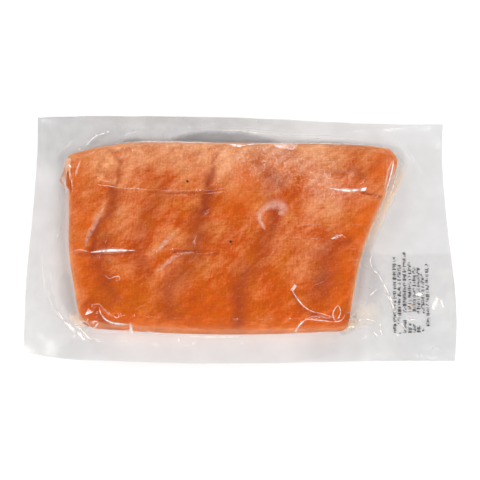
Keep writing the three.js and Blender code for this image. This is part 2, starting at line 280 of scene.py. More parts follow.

# Low ridges where the film is pinched up: points in plan, widths from start to end, height, whiteness, which
# is partly the stressed film and partly a painted highlight
PINCHES = (
    (((-65.8, 20.6), (-63.7, 20.1), (-60.6, 20), (-56.8, 19.4)), (0.45, 0.33), 0.09, 0.35),
    (((-56.8, 19.4), (-51.6, 18.5), (-48.6, 18.7), (-42, 18)), (0.33, 0.45), 0.06, 0.25),
    (((-43, 18.4), (-33, 17.8), (-24, 17.8), (-18.5, 18.6)), (0.33, 0.26), 0.02, 0.1),
    (((-17.4, 18.6), (-12.5, 18.4), (-5.7, 19.4)), (0.33, 0.33), 0.02, 0.18),
    (((-16.2, 16.7), (-11.2, 17.1), (-5, 17.9)), (0.39, 0.33), 0.02, 0.18),
    (((-66.5, 24.6), (-64.5, 22.9), (-60.7, 22), (-57.6, 20.9)), (0.91, 0.33), 0.06, 0.14),
    (((-29.3, 37.4), (-27.2, 34.9), (-24.2, 30.7)), (0.26, 0.26), 0.03, 0.14),
    (((-78, -12.6), (-73.2, -11.7), (-68.6, -12.6)), (0.39, 0.78), 0.1, 0.2),
    (
        ((-68, -12.7), (-63.4, -12.2), (-58.5, -11.8), (-52.7, -11.9), (-47.6, -11.7)),
        (0.8, 1.3, 1.1, 0.4), 0.3, 0.75,
    ),
    (
        ((-61, -24), (-58.8, -25.7), (-57, -24.9), (-54.9, -24.4), (-54.2, -26), (-56.2, -26.9)),
        (0.33, 0.26), 0.15, 0.45,
    ),
    (
        ((-63.2, -38.6), (-62.3, -41.8), (-60.3, -44.1), (-57.2, -45.2), (-53.3, -45.6), (-49.1, -45.8)),
        (0.5, 0.33), 0.2, 0.55,
    ),
    (((-49.6, -45.3), (-48.4, -46.1), (-50.1, -46.7), (-53.2, -46.7)), (0.4, 0.3), 0.15, 0.45),
    (((-67.3, -46.1), (-62.5, -46.7), (-57.6, -46.8), (-53.2, -46.7)), (0.26, 0.26), 0.09, 0.3),
    (
        ((-67.9, -36.8), (-66.3, -37.9), (-63.3, -37.6), (-60.9, -39.8), (-58.5, -41.8), (-56.1, -42.9)),
        (0.26, 0.33), 0.11, 0.3,
    ),
    (((-56.6, -42.9), (-55, -43.6), (-54, -42.7), (-54.9, -41.7)), (0.39, 0.26), 0.18, 0.5),
    (((-62.7, -38.8), (-59.7, -41.5), (-56.7, -43.1)), (0.26, 0.26), 0.08, 0.25),
    (((-68.8, -44.3), (-68, -45.1), (-66.6, -45.5), (-63.6, -45)), (0.33, 0.26), 0.13, 0.5),
    (((-67, -44.8), (-65, -44.6), (-63.2, -44.9)), (0.52, 0.26), 0.11, 0.4),
    (((-73.4, -42.7), (-71.1, -43.3), (-69.2, -44.2)), (0.26, 0.26), 0.11, 0.4),
    (((-72.8, -44.1), (-70.4, -45.6), (-67.3, -46.1)), (0.26, 0.26), 0.1, 0.35),
    (((-47.1, -40.6), (-44.8, -38.6), (-41.9, -38)), (0.26, 0.26), 0.03, 0.12),
    (((-62.6, 9.6), (-65, 4.4), (-67.4, -1), (-69.6, -6), (-70.4, -10.2)), (1.7, 3), 0.02, 0.09),
    (((-67, -1), (-69, -5), (-70.3, -9.4)), (0.5, 0.8), 0.02, 0.1),
    (((-29.9, -3.2), (-32.2, -5.8), (-35.2, -9.2), (-38.4, -13)), (1.6, 3), 0.015, 0.09),
    (((-31, -3.8), (-33.6, -6.8), (-36.6, -10.6)), (0.5, 0.8), 0.02, 0.08),
    (
        ((-20.9, -12.5), (-25.5, -13.1), (-29.6, -14.4), (-32.3, -16.8), (-34.9, -19.6), (-37.6, -21.9)),
        (1.2, 2.8), 0.015, 0.1,
    ),
    (((-20.6, -4.9), (-20.6, -10.2)), (0.26, 0.33), 0.05, 0.2),
    (((-19.1, -13.2), (-14.6, -12.8), (-10.5, -11.8)), (0.26, 0.26), 0.04, 0.14),
    (((-25.1, -9.2), (-22.9, -6.2), (-21, -5.2)), (0.2, 0.2), 0.03, 0.14),
    (((-27.8, 16.7), (-25.4, 15.5), (-23.1, 14.2)), (0.26, 0.33), 0.04, 0.16),
    (((-74.4, 32.7), (-75.6, 28.6), (-76.4, 24.5)), (0.6, 1.5), 0.06, 0.26),
    (((-80.2, 31.4), (-79.4, 30.4), (-78.7, 29.3)), (0.5, 0.85), 0.12, 0.95),
    (((-79.8, 29.2), (-78.6, 24.8), (-77.9, 21), (-77.6, 16.7)), (0.45, 0.6), 0.08, 0.24),
    (((-82.4, 30.6), (-82.2, 26), (-80.8, 20.6), (-78.6, 15.6)), (0.39, 0.33), 0.09, 0.42),
    (((-85.1, 30.4), (-83.4, 25.5), (-81.2, 20.1), (-77.9, 13)), (0.45, 0.26), 0.07, 0.28),
    (((-77.3, 44.8), (-76.4, 43.5)), (0.45, 0.45), 0.15, 0.8),
    (((15.2, 42.5), (17.5, 40.9), (19.6, 40.7), (21.8, 41.8)), (0.52, 0.52), 0.13, 0.4),
    (((15.4, 42.7), (18.8, 42.7), (23.1, 42.3)), (0.52, 0.39), 0.1, 0.35),
    (((40, 20.1), (44, 19.3), (48.8, 18.8), (53.6, 19), (58.7, 19.8)), (0.3, 1.1, 1.2, 1.3), 0.3, 0.72),
    (((46, 19.9), (51, 19.3), (56.4, 20.2)), (0.26, 0.26), 0.08, 0.25),
    (((55.1, 20.9), (57.4, 23.2), (58.6, 24.8)), (0.52, 0.33), 0.06, 0.16),
    (((72.1, 34.2), (71.2, 29.6), (69.9, 24.9), (68.7, 21.1), (67.7, 17)), (1.0, 0.35), 0.2, 0.7),
    (((67.8, 17), (64.2, 8.6), (60.8, 0.6), (58.6, -6)), (0.39, 0.26), 0.07, 0.28),
    (((75.5, 35.7), (74.2, 30.2), (72.1, 23.7), (68.8, 15.2)), (0.39, 0.33), 0.09, 0.42),
    (((41.6, -5.3), (44, -4.4), (45.6, -3.6)), (0.33, 0.59), 0.1, 0.35),
    (((45.2, -3.7), (46.8, -3.4), (48.4, -4.8)), (0.52, 0.33), 0.16, 0.5),
    (
        ((23.3, -29.8), (24.8, -32.8), (26.6, -35.5), (28.7, -38), (31.1, -39.7), (33.7, -40.7)),
        (0.55, 0.33), 0.22, 0.62,
    ),
    (((33, -40.4), (36.7, -41.4), (38.9, -42.1), (42.4, -43.2)), (0.33, 0.26), 0.15, 0.4),
    (((34.8, -41.6), (38.1, -42.9), (41.1, -43.9)), (0.2, 0.26), 0.08, 0.25),
    (
        ((24.7, -47.8), (25.9, -46.8), (27.3, -45.6), (29, -44.3), (30.5, -43.7)),
        (0.78, 0.45), 0.24, 0.55,
    ),
    (((30, -43.8), (33.3, -44), (36.6, -44.2), (40, -44.6), (42.7, -44.7)), (0.35, 0.4), 0.18, 0.5),
    (((42.2, -44.7), (44.9, -44.4), (46.4, -43.2), (47, -41.6)), (0.45, 0.33), 0.18, 0.5),
    (((30.6, -43.2), (33, -42.6), (35.8, -42.7), (38.9, -43.5)), (0.78, 0.52), 0.06, 0.16),
    (((44.1, -37.2), (42.7, -39), (41.7, -41.2), (42, -43.2), (43.1, -44.5)), (0.33, 0.45), 0.23, 0.6),
    (
        ((44.1, -37.2), (45, -38.9), (45.1, -41.1), (44.4, -42.7), (43.4, -43.7)),
        (0.33, 0.33), 0.22, 0.55,
    ),
    (((22.7, -47.7), (28.4, -47.8), (34, -47.7), (39.7, -47.3), (43, -47)), (0.26, 0.33), 0.06, 0.25),
    (((-44.1, -47), (-39.4, -47.5), (-33.3, -48)), (0.26, 0.26), 0.06, 0.3),
    (((-24.5, -48.6), (-16.4, -48.7), (-9.1, -48.8), (2.2, -48.7)), (0.26, 0.26), 0.1, 0.84),
    (((13.4, -15), (15.9, -11), (19, -8.6)), (0.26, 0.2), 0.03, 0.14),
    (((27.5, 1.9), (33, 1.5), (38.8, 2)), (0.26, 0.2), 0.03, 0.14),
    (((29.9, -4.7), (34.1, -5.4), (38.4, -5.4)), (0.26, 0.2), 0.03, 0.12),
    (((33, -28), (36.2, -26.8), (39.4, -24.7)), (0.26, 0.2), 0.03, 0.14),
    (((62, -8), (60.5, -12), (62, -15.9), (64.2, -17.9), (66, -21.6)), (0.6, 0.6), 0.12, 0.55),
    (((64.2, -17.9), (66, -21.6), (67.8, -25.6), (69.7, -30.5), (71.6, -37.7)), (0.7, 0.7), 0.14, 0.6),
    (
        ((66, -24), (68.5, -29.3), (70.6, -34.1), (72.6, -39.6), (75.1, -43.5), (76.6, -46.1)),
        (0.6, 0.7), 0.12, 0.58,
    ),
    (((59.1, -29.4), (61.1, -27.5), (63.6, -25.2)), (0.4, 0.5), 0.15, 0.7),
    (((53.8, -42.7), (54.3, -41.4), (56.4, -40.4), (58.8, -40.3), (62.3, -40.8)), (0.7, 0.4), 0.2, 0.8),
    (((54.3, -42.7), (56.3, -42.9), (59.5, -42.1), (61.9, -41.5)), (0.26, 0.26), 0.07, 0.35),
    (((48.8, -46), (50.4, -45.4), (52.2, -44.8)), (0.7, 0.9), 0.2, 0.8),
    (((61, -45.5), (61.9, -46.8), (63.1, -48.1)), (0.8, 0.9), 0.2, 0.8),
    (((64.2, -41.9), (64.2, -44), (64.6, -46.4), (64.9, -48.2)), (0.8, 0.7), 0.2, 0.7),
    (((55.2, -37.7), (58.1, -37.4), (60.7, -37.6)), (0.33, 0.26), 0.06, 0.42),
    (((48.4, -40.7), (50.1, -39.3), (52.7, -38.6)), (0.26, 0.33), 0.06, 0.3),
    (((76.8, -40.4), (79.1, -40), (80.6, -40.3)), (0.39, 0.52), 0.12, 0.84),
    (((71.4, -47.1), (72.3, -48.1)), (0.65, 0.65), 0.12, 0.95),
    (((86.3, -55.8), (87.5, -53.9), (89.4, -52.9), (91.6, -53.9)), (0.33, 0.52), 0.06, 0.28),
    (((71.1, 49.2), (77.6, 46.9), (83, 40.8), (86.8, 31.9), (88.2, 26.4)), (0.39, 0.33), 0.04, 0.17),
    (((74.9, 40.8), (78, 36.4), (78.7, 30.6)), (0.39, 0.33), 0.04, 0.22),
    (((-92.7, -0.3), (-92, -15), (-89.6, -26), (-84.5, -36.8), (-78.6, -43)), (0.39, 0.52), 0.05, 0.22),
    (((-88.6, -12), (-87.4, -22), (-85, -30), (-82, -36.4)), (0.39, 0.52), 0.06, 0.28),
    (
        ((-84.6, -34), (-82.7, -37.6), (-80.7, -40.4), (-78.1, -43.1), (-75.5, -45.2)),
        (0.6, 1.1), 0.3, 0.95,
    ),
    (((-75.8, -45), (-73.9, -46.8), (-72.1, -48.4), (-70.9, -49.9)), (1.2, 0.6), 0.25, 0.8),
    (((-75.5, -43.2), (-72.3, -45.6), (-69.4, -48.4), (-66.3, -50.8)), (0.8, 0.5), 0.2, 0.7),
    (
        ((-74.4, 45.4), (-72.1, 49.4), (-70.2, 51.5), (-67.1, 53.3), (-61.9, 54.6)),
        (0.6, 0.45), 0.2, 0.65,
    ),
    (((-69.9, 53.3), (-68.8, 52.2)), (0.9, 0.7), 0.25, 1),
    (((-65, 54.4), (-63.4, 54.8)), (0.65, 0.5), 0.2, 1),
    (((-7.5, 55.3), (0.4, 55.1), (4.8, 54.4), (11.4, 53.3)), (0.33, 0.45), 0.12, 0.63),
    (
        ((-22.4, 56), (-15.4, 56.4), (-6.1, 56.1), (4.8, 55.9), (13.6, 55), (22.3, 54.1)),
        (0.26, 0.33), 0.04, 0.2,
    ),
    (
        ((-34.2, 46), (-32.3, 50.3), (-28.9, 52.3), (-23.7, 54.1), (-16.2, 54.3), (-8.3, 54.8)),
        (0.26, 0.26), 0.04, 0.17,
    ),
    (((-53.5, 54.8), (-49.1, 55.5), (-43.4, 55.1)), (0.33, 0.33), 0.05, 0.28),
    (((-27.9, -49.2), (-27.8, -50.5)), (0.65, 0.52), 0.15, 0.95),
    (
        ((-79, 37.2), (-72, 39.6), (-64, 42), (-56, 42.9), (-40, 43.1), (-20, 42.9), (-8, 42.8)),
        (0.6, 0.7), 0.14, 0.6,
    ),
    (((-8, 42.8), (-3.4, 41.6), (0.5, 41.1), (6.6, 42.2), (15.1, 43)), (0.5, 0.5), 0.14, 0.6),
    (
        ((15.1, 43), (35, 43.2), (50, 43.2), (60, 42.6), (68.2, 40.7), (70.5, 40.1)),
        (0.7, 0.7), 0.16, 0.75,
    ),
    (((71.6, 34), (69, 28), (67.8, 22), (67, 18.6)), (1.4, 0.8), 0.04, 0.16),
    (
        ((3.9, 54.8), (12.5, 54.2), (21.2, 53.1), (29.9, 52.6), (38.5, 52.5), (44.9, 52.3)),
        (0.4, 0.4), 0.12, 0.3,
    ),
    (((27.5, 49.2), (35.6, 50.5), (44.9, 50.9), (52.9, 50.4), (58.7, 49.1)), (0.5, 0.4), 0.12, 0.35),
)

# How far a ridge lies above the film, how far it goes down from there, and how white its sides are when its
# crest is 1
RIDGE_LIFT = 0.02
RIDGE_ROOT = 0.12
RIDGE_SIDES = 0.2

# A ridge whiter than this has a faint, broader one under it as a painted soft highlight, with its own lift
# and shares of its measures
WHITE_FROM = 0.5
HALO_LIFT = 0.015
HALO_WIDTH = 2.5
HALO_HEIGHT = 0.6
HALO_WHITENESS = 0.12

# Small flat facets of film that catch the light, their glints painted in as whiteness: four corners in plan,
# and whiteness
FACETS = (
    (((14.8, 42.7), (27.5, 41.9), (25, 38.9), (17, 39.9)), 0.17),
    (((-4.7, 42), (0.9, 41.5), (0.4, 40.3), (-3.6, 40.5)), 0.4),
    (((-69.4, -42.2), (-66.3, -41.5), (-66.1, -41.3), (-67.9, -39.6)), 0.65),
    (((22.7, -30.4), (23.9, -31.1), (25.6, -28.6), (24.7, -27.6)), 0.2),
    (((90.7, -29.3), (91.3, -30.4), (88.9, -36.4), (87.9, -34.2)), 0.6),
    (((91.9, -30.7), (92.8, -31), (93.7, -34.2), (92.9, -34.6)), 0.45),
    (((80.8, -28.2), (82.8, -29), (84.4, -28.2), (82.6, -26.9)), 0.7),
    (((-79.2, -42.2), (-78, -42), (-75, -45.6), (-76.4, -46)), 0.5),
    (((-74.8, -45.4), (-73.6, -45.6), (-70.6, -49.4), (-71.6, -49.6)), 0.35),
    (((55.6, 18.4), (58.4, 18.7), (59, 20.2), (56.6, 19.9)), 0.45),
    (((41.8, -5.6), (44, -5.2), (46.6, -4), (44.4, -3.2)), 0.2),
    (((-49.8, -45.6), (-48.4, -46.4), (-48.6, -47.6), (-49.9, -47)), 0.25),
    (((-84.6, 29.6), (-83.2, 29.8), (-79.6, 15), (-79.3, 14)), 0.2),
)

# How far a facet lies above the film and goes down into it
FACET_LIFT = 0.12
FACET_ROOT = 0.05

# Short wrinkles in the slack film: a box in plan, how many there are, their turn from +X, length, whiteness.
# The whiteness is partly the stressed film and partly a painted highlight.
WRINKLES = (
    ((51, -29, 60, 2), 9, 0.08, 5.5, 0.16),
    ((-86, -24, -82, 30), 8, 1.45, 6, 0.3),
    ((-60, 47, 60, 51), 9, 0.1, 6, 0.3),
    ((50, -44, 66, -31), 8, 0.5, 3.5, 0.5),
    ((-74, -47, -64, -36), 6, 0.7, 2.6, 0.5),
)
WRINKLE_SEED = 8
# The height of each and its width at one end, then how they vary: their turn, their half length as a share
# of the length, their bow as a share of that, the width at the other end, and their share of the whiteness
WRINKLE_HEIGHT = 0.2
WRINKLE_START = 0.4
WRINKLE_TURNS = (-0.5, 0.5)
WRINKLE_HALVES = (0.3, 0.6)
WRINKLE_BOWS = (-0.25, 0.25)
WRINKLE_ENDS = (0.3, 0.7)
WRINKLE_WHITES = (0.15, 0.65)

# Painted shade where the slack film stands off and looks grey: an outline and the strength within it
SHADED_POCKETS = (
    (
        ((-35, 41), (-32.3, 50.3), (-23.7, 54.1), (-8.3, 54.6), (4.8, 53.8), (14.9, 51), (20, 46), (12, 40)),
        0.5,
    ),
    (((-57, 45), (-54.9, 50.4), (-50, 51.2), (-45.6, 49), (-44, 44)), 0.55),
    (((-74.6, 44.6), (-72.1, 49.2), (-67.1, 53.1), (-61, 54.6), (-67.8, 50.2), (-71.2, 47.2)), 0.5),
    (((22, 44), (27, 49.6), (38, 50), (50, 49), (58, 44), (40, 41)), 0.35),
    (((-84, -20), (-78, -18), (-75, -30), (-73, -37), (-78, -38), (-83, -30)), 0.25),
    (((57, -6), (62, -10), (64.6, -19), (66, -30), (52, -31), (52, -16)), 0.22),
)
# Darker cores of the painted shade: points, half width and strength
SHADED_POCKET_CORES = (
    (((-31.3, 48), (-25.7, 49.4), (-20.5, 49), (-14.8, 48)), 1.6, 0.6),
    (((-7, 48), (-1.7, 47.4), (2.6, 49.4), (9.2, 50), (14.8, 48.6)), 2.4, 0.6),
    (((-55, 48), (-50, 49.4), (-46, 47.6)), 1.4, 0.5),
    (((26, 46.6), (38, 47.4), (50, 46.6)), 1.3, 0.3),
    (((-71, 48.4), (-66, 51.6)), 0.9, 0.3),
)
# The soft edge of the painted shade, how much it clouds the film, and how dark it makes it
POCKET_SHADE_EDGE = 1.4
POCKET_SHADE_HAZE = 0.2
POCKET_SHADE = 1.6

# The film turns clear where it rises between these heights to the flesh's top, and is a little milky below
CLEAR_FROM = (5, 10)
FILM_HAZE = 0.2
# Parts of the welded margin that are milkier, or clearer where the share is below 0. Each fades in between
# two distances along X and Y.
PRINT_FIELD_X = (58, 61)
PRINT_FIELD_Y = (7.4, 8.6)
PRINT_FIELD_MILK = 0.2
FAR_LEFT_X = (-40, 20)
FAR_LEFT_Y = (30, 48)
FAR_LEFT_MILK = 0.65
# The near middle is made clearer so the flesh's shadow on the floor under it looks lighter: painted light
NEAR_MIDDLE = -15
NEAR_MIDDLE_X = (-62, -35)
NEAR_MIDDLE_Y = (43, 49)
NEAR_MIDDLE_LIGHTENING = -0.45

# Juice between the films: the outline of each pool, its depth, and the strength of its colour
POOLS = (
    (
        (
            (47, -38), (50.6, -34.4), (56, -31.6), (64.8, -30),
            (66.4, -36), (65.4, -41), (57.1, -44), (47, -47),
        ),
        0.6, 0.14,
    ),
    (((46, -37), (52, -36.6), (54.6, -40.8), (51.8, -45), (46, -47)), 0.7, 0.35),
    (((-78.5, -35.6), (-74, -36), (-70.4, -40), (-70.6, -45), (-75, -43.4), (-79, -39.9)), 0.7, 0.4),
    (((77.7, -33), (78.8, -32), (80, -33.5), (78.8, -34.8)), 0.3, 0.9),
    (
        (
            (73, 41), (79, 39), (79.6, 34), (74.6, 22.8), (69.7, 11.8), (64.8, 0.8),
            (60, -9), (54, -7), (58.4, 3.6), (63.4, 14.6), (68.4, 25.6), (72.4, 35),
        ),
        1.4, 0.44,
    ),
)

# How finely a pool is divided, how far its base is above the table, how thick its rim is, and how far its
# top stays under the film's outer face
POOL_STEPS = 14
POOL_BASE = 0.05
POOL_RIM = 0.05
POOL_COVER = 0.05

# The dark specks: place in plan and size, then how broad they are beside that and how high
SPECKS = ((-24.4, 22.6, 0.62), (-4.3, -7.2, 0.6), (-33.6, 34.5, 0.16), (35, -17.4, 0.2), (-49, -20.8, 0.14))
SPECK_BREADTH = 1.6
SPECK_HEIGHT = 0.1

# The pale thread of connective tissue that shows under the film: points, and the width at each
THREAD = (
    (17.6, 6.4), (20, 8.6), (18.4, 11), (14.8, 11.2), (11.6, 9.6),
    (9.2, 7), (8.9, 4), (10.4, 1), (11.6, -1.4),
)
THREAD_WIDTHS = (5.4, 7, 7.2, 5.6, 3.8, 3.4, 3.4, 3.2, 2.6)
THREAD_HEIGHT = 0.15
THREAD_WHITENESS = 0.38

# The thin flap of flesh folded against the left wall: points, the width at each, and its height
FLAP = ((-80.2, 28.4), (-80.6, 24.8), (-79.6, 21.2), (-78.2, 17.4))
FLAP_WIDTHS = (1.6, 2.8, 2, 1.2)
FLAP_HEIGHT = 0.3
# The pale sheet outside it: its corners in plan, its depth under the film's outer face, and its thickness
FLAP_SHEET = ((-85.8, 28.8), (-78.8, 17.5), (-79, 34.4), (-81.8, 35.6))
FLAP_SHEET_DEPTH = 0.1
FLAP_SHEET_THICKNESS = 0.3
# The values that the flap's two parts carry for their colours; the fold's bright orange is partly painted
# light, as it faces away from the lamps
FOLD_TONES = {"paleness": 0, "side": 0, "bloom": 0, "glow": 0.7, "band": 0.25}
SHEET_TONES = {"paleness": 1, "side": 0.35, "bloom": 1.6, "glow": 0, "band": 0}

# The print: a block of plain marks in lines that run across the pouch and lean a little. Each line has its
# place along the pouch, where it starts, and how far from there an empty stretch begins and ends.
PRINT_LINES = (
    (71.9, -9.7, (0, 0)),
    (74.1, -13.6, (28, 32)),
    (76.5, -7.3, (29, 33)),
    (78.8, -12.2, (24, 29)),
    (80.9, -15, (21, 27)),
    (82.8, -15, (22, 28)),
    (84.8, -18.1, (19, 26)),
    (87, -13.2, (31, 38)),
)
PRINT_SEED = 5
PRINT_END = -46.4
PRINT_LEAN = 0.03
PRINT_LEANS_FROM = -10
PRINT_HEIGHT = 1.75
PRINT_LEAST = 0.3
PRINT_STROKES = (0.2, 0.3, 0.5)
PRINT_SPACES = (0.2, 0.4, 1)
PRINT_SPACE_CHANCES = (0.4, 0.42, 0.18)
# The strokes' base and top above the film
INK_HEIGHTS = (0.01, 0.05)

# The place that the camera looks at, along +Y and down, and the width of its sensor
VIEW_TARGET = (0, -2.2, 4)
SENSOR_WIDTH = 36

# The floor's half width in metres, and how far it lies under the pack in millimetres
FLOOR_REACH = 2.5
FLOOR_DROP = 0.05

# Each light's name, its turn from +X and its height above the horizon in degrees, the size of its face in
# metres, and its power in watts. The flat top of the pack mirrors the dim sky between them.
LIGHTS = (
    ("back_right_softbox", 63, 40, (0.3, 0.2), 1.4),
    ("back_left_softbox", 118, 40, (0.3, 0.2), 1.4),
    ("front_right_softbox", -50, 58, (0.35, 0.25), 4.1),
    ("front_left_softbox", -130, 58, (0.35, 0.25), 4.1),
)
LIGHT_DISTANCE = 1.1
# The height of a direction at which the low, bright part of the sky starts to fade, and where it has faded
SKY_BORDER = (0.55, 0.8)


def srgb(red, green, blue):
    """The linear colour of an sRGB colour given from 0 to 255."""

    def linear(value):
        share = value / 255
        return share / 12.92 if share <= 0.04045 else ((share + 0.055) / 1.055) ** 2.4

    return linear(red), linear(green), linear(blue)


# Lines and outlines in plan


def bend(start, tip, end, steps):
    """Points of the quadratic curve from start to end that is pulled towards tip."""
    t = np.linspace(0, 1, steps + 1)[:, None]
    start, tip, end = (np.array(p, float) for p in (start, tip, end))
    return (1 - t) ** 2 * start + 2 * t * (1 - t) * tip + t**2 * end


def through(points, per_span=5, loop=False):
    """A smooth line through points, closed or open."""
    knots = np.array(points, float)
    if loop:
        knots = np.vstack([knots[-1:], knots, knots[:2]])
    else:
        knots = np.vstack([2 * knots[0] - knots[1], knots, 2 * knots[-1] - knots[-2]])
    t = np.linspace(0, 1, per_span, endpoint=False)[:, None]
    line = [
        0.5 * (2 * b + (c - a) * t + (2 * a - 5 * b + 4 * c - d) * t**2 + (3 * b - a - 3 * c + d) * t**3)
        for a, b, c, d in zip(knots, knots[1:], knots[2:], knots[3:])
    ]
    return np.vstack([*line, knots[-2:-1]])


def spaced(points, steps, last=False):
    """Points at equal steps along a line, with or without its last point."""
    along = np.concatenate([[0], np.cumsum(np.linalg.norm(np.diff(points, axis=0), axis=1))])
    wanted = np.linspace(0, along[-1], steps + last, endpoint=last)
    return np.stack([np.interp(wanted, along, column) for column in points.T], axis=1)


def round_about(points):
    """A smooth closed line through points that goes round anticlockwise, whichever way they are given."""
    ring = through(points, loop=True)
    ahead = np.roll(ring, -1, axis=0)
    area = (ring[:, 0] * ahead[:, 1] - ring[:, 1] * ahead[:, 0]).sum()
    return ring if area > 0 else ring[::-1]


def flesh_sides():
    """The four sides of the flesh's outline, each from the middle of one marked rounding to the next."""
    tips = np.array([(x, y) for x, y, _, _ in FLESH_CORNERS], float)
    roundings = [rounding for _, _, rounding, _ in FLESH_CORNERS]
    befores, afters = (np.roll(tips, way, axis=0) for way in (1, -1))
    bends = []
    for before, tip, after, rounding in zip(befores, tips, afters, roundings):
        legs = (before - tip, after - tip)
        entry, leave = (tip + leg / np.linalg.norm(leg) * rounding for leg in legs)
        bends.append(bend(entry, tip, leave, BEND_STEPS))
    starts = [i for i, (_, _, _, starting) in enumerate(FLESH_CORNERS) if starting]
    half = BEND_STEPS // 2
    sides = []
    for start, end in zip(starts, starts[1:] + [len(tips)]):
        last = bends[end % len(tips)][: half + 1]
        sides.append(np.vstack([bends[start][half:], *bends[start + 1 : end], last]))
    return sides


def film_edges():
    """The four edges of the cut film, each a slightly bowed line between two corners."""
    signs = ((-1, -1), (1, -1), (1, 1), (-1, 1))
    half = np.array([POUCH_LENGTH, POUCH_WIDTH]) / 2
    corners = [np.array(sign) * (half - inset) for sign, inset in zip(signs, CORNER_INSETS)]
    t = np.linspace(0, 1, EDGE_STEPS + 1)[:, None]
    edges = []
    for i, start in enumerate(corners):
        end = corners[(i + 1) % 4]
        outward = np.array([end[1] - start[1], start[0] - end[0]])
        outward /= np.linalg.norm(outward)
        early, late = (
            start + (end - start) * (third + 1) / 3 + outward * bow
            for third, bow in enumerate(EDGE_BOWS[i])
        )
        edges.append(
            (1 - t) ** 3 * start
            + 3 * t * (1 - t) ** 2 * early
            + 3 * t**2 * (1 - t) * late
            + t**3 * end
        )
    return edges


def smooth_step(value, low, high):
    """0 below low, 1 above high, and a smooth rise between them."""
    share = np.clip((value - low) / (high - low), 0, 1)
    return share * share * (3 - 2 * share)


def round_the_pack(values, side, share):
    """Values that change smoothly round the pack, at a share of the way along a side."""
    corners, middles = (np.array(v, float) for v in values)
    first, middle, last = corners[side], middles[side], corners[(side + 1) % 4]
    rising = first + (middle - first) * smooth_step(share, 0, 0.5)
    return rising + (last - middle) * smooth_step(share, 0.5, 1)


def sheet(corners, steps):
    """Rows of points spread evenly between four corners in plan."""
    a, b, c, d = np.array(corners, float)
    s = np.linspace(0, 1, steps + 1)[None, :, None]
    t = np.linspace(0, 1, steps + 1)[:, None, None]
    return (1 - t) * ((1 - s) * a + s * b) + t * ((1 - s) * d + s * c)


def patch(ring, n, m):
    """Rows of points spread evenly between the four sides of a ring."""
    ring = np.vstack([ring, ring[:1]])[:, :2]
    near, right = ring[: n + 1], ring[n : n + m + 1]
    far, left = ring[n + m : 2 * n + m + 1][::-1], ring[2 * n + m :][::-1]
    s = np.linspace(0, 1, n + 1)[None, :, None]
    t = np.linspace(0, 1, m + 1)[:, None, None]
    between = (1 - t) * near[None] + t * far[None] + (1 - s) * left[:, None] + s * right[:, None]
    corners = (1 - t) * ((1 - s) * near[0] + s * near[-1]) + t * ((1 - s) * far[0] + s * far[-1])
    return between - corners


# Relief


def beside(plan, line):
    """For each place, its distance from a line of points, and how far along the line that is."""
    gaps = np.linalg.norm(plan[:, None] - line[None], axis=2)
    return gaps.min(axis=1), gaps.argmin(axis=1) / (len(line) - 1)


def strokes(plan, table):
    """The strongest of a table's soft strokes at each place, from 0 to 1."""
    strongest = np.zeros(len(plan))
    for points, width, strength in table:
        gap, _ = beside(plan, spaced(through(points), LINE_STEPS, last=True))
        strongest = np.maximum(strongest, strength * np.exp(-((gap / width) ** 2)))
    return strongest


def within(plan, table, soft):
    """The strongest of a table's outlined fields at each place, from 0 to 1, fading in over a soft edge."""
    strongest = np.zeros(len(plan))
    x, y = plan[:, 0], plan[:, 1]
    for outline, strength in table:
        ring = through(outline, loop=True)
        inside = np.zeros(len(plan), bool)
        for (x0, y0), (x1, y1) in zip(ring, np.roll(ring, -1, axis=0)):
            if y0 != y1:
                inside ^= ((y0 > y) != (y1 > y)) & (x < x0 + (y - y0) * (x1 - x0) / (y1 - y0))
        gap, _ = beside(plan, ring)
        strongest = np.maximum(strongest, strength * inside * smooth_step(gap, 0, soft))
    return strongest


def random_ways(plan, count, rng):
    """How far the places lie along each of some random directions."""
    turns = rng.uniform(0, FULL_TURN, count)
    return plan[:, :1] * np.cos(turns) + plan[:, 1:2] * np.sin(turns)


def ripples(plan, length, count, seed):
    """A smooth random surface of waves of about one length, mostly between -1 and 1."""
    rng = np.random.default_rng(seed)
    way = random_ways(plan, count, rng)
    pitch = FULL_TURN / (length * rng.uniform(*WAVE_SPREAD, count))
    return np.sin(way * pitch + rng.uniform(0, FULL_TURN, count)).sum(axis=1) / math.sqrt(count)


def crumple(plan, length, count, seed):
    """A random surface of sharp ridges with soft hollows between them, from about -1 to 1."""
    rng = np.random.default_rng(seed)
    way = random_ways(plan, count, rng)
    pitch = math.pi / (length * rng.uniform(*WAVE_SPREAD, count))
    way = way + 0.25 * length * ripples(plan, 3 * length, 5, seed + 1)[:, None]
    average = 0.64
    folds = average - np.abs(np.sin(way * pitch + rng.uniform(0, math.pi, count)))
    return folds.sum(axis=1) / math.sqrt(count)


def valley_depth(plan):
    """The depth of the valleys between the muscle bands."""
    total = np.zeros(len(plan))
    for start, middle, end, depth, width in VALLEYS:
        gap, along = beside(plan, bend(start, middle, end, LINE_STEPS))
        fading = np.sqrt(np.sin(math.pi * np.clip(along, VALLEY_FADE, 1 - VALLEY_FADE)))
        total += depth * fading * np.exp(-((gap / width) ** 2))
    return total


def flesh_top(plan):
    """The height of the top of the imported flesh."""
    x, y = plan[:, 0], plan[:, 1]
    swell = np.sin(FULL_TURN * (x + SWELL_START) / SWELL_LENGTH) * np.cos(FULL_TURN * y / SWELL_BREADTH)
    slope = THINNER_TO_THE_RIGHT * x + THINNER_TO_THE_FAR_SIDE * y
    lumps = sum(height * ripples(plan, *waves) for height, *waves in FLESH_LUMPS)
    ridges = RAISED_HEIGHT * strokes(plan, RAISED_PALES_AND_SHEEN) - FURROW_DEPTH * strokes(plan, FURROWS)
    return FLESH_THICKNESS - slope + SWELL_HEIGHT * swell - valley_depth(plan) + lumps + ridges


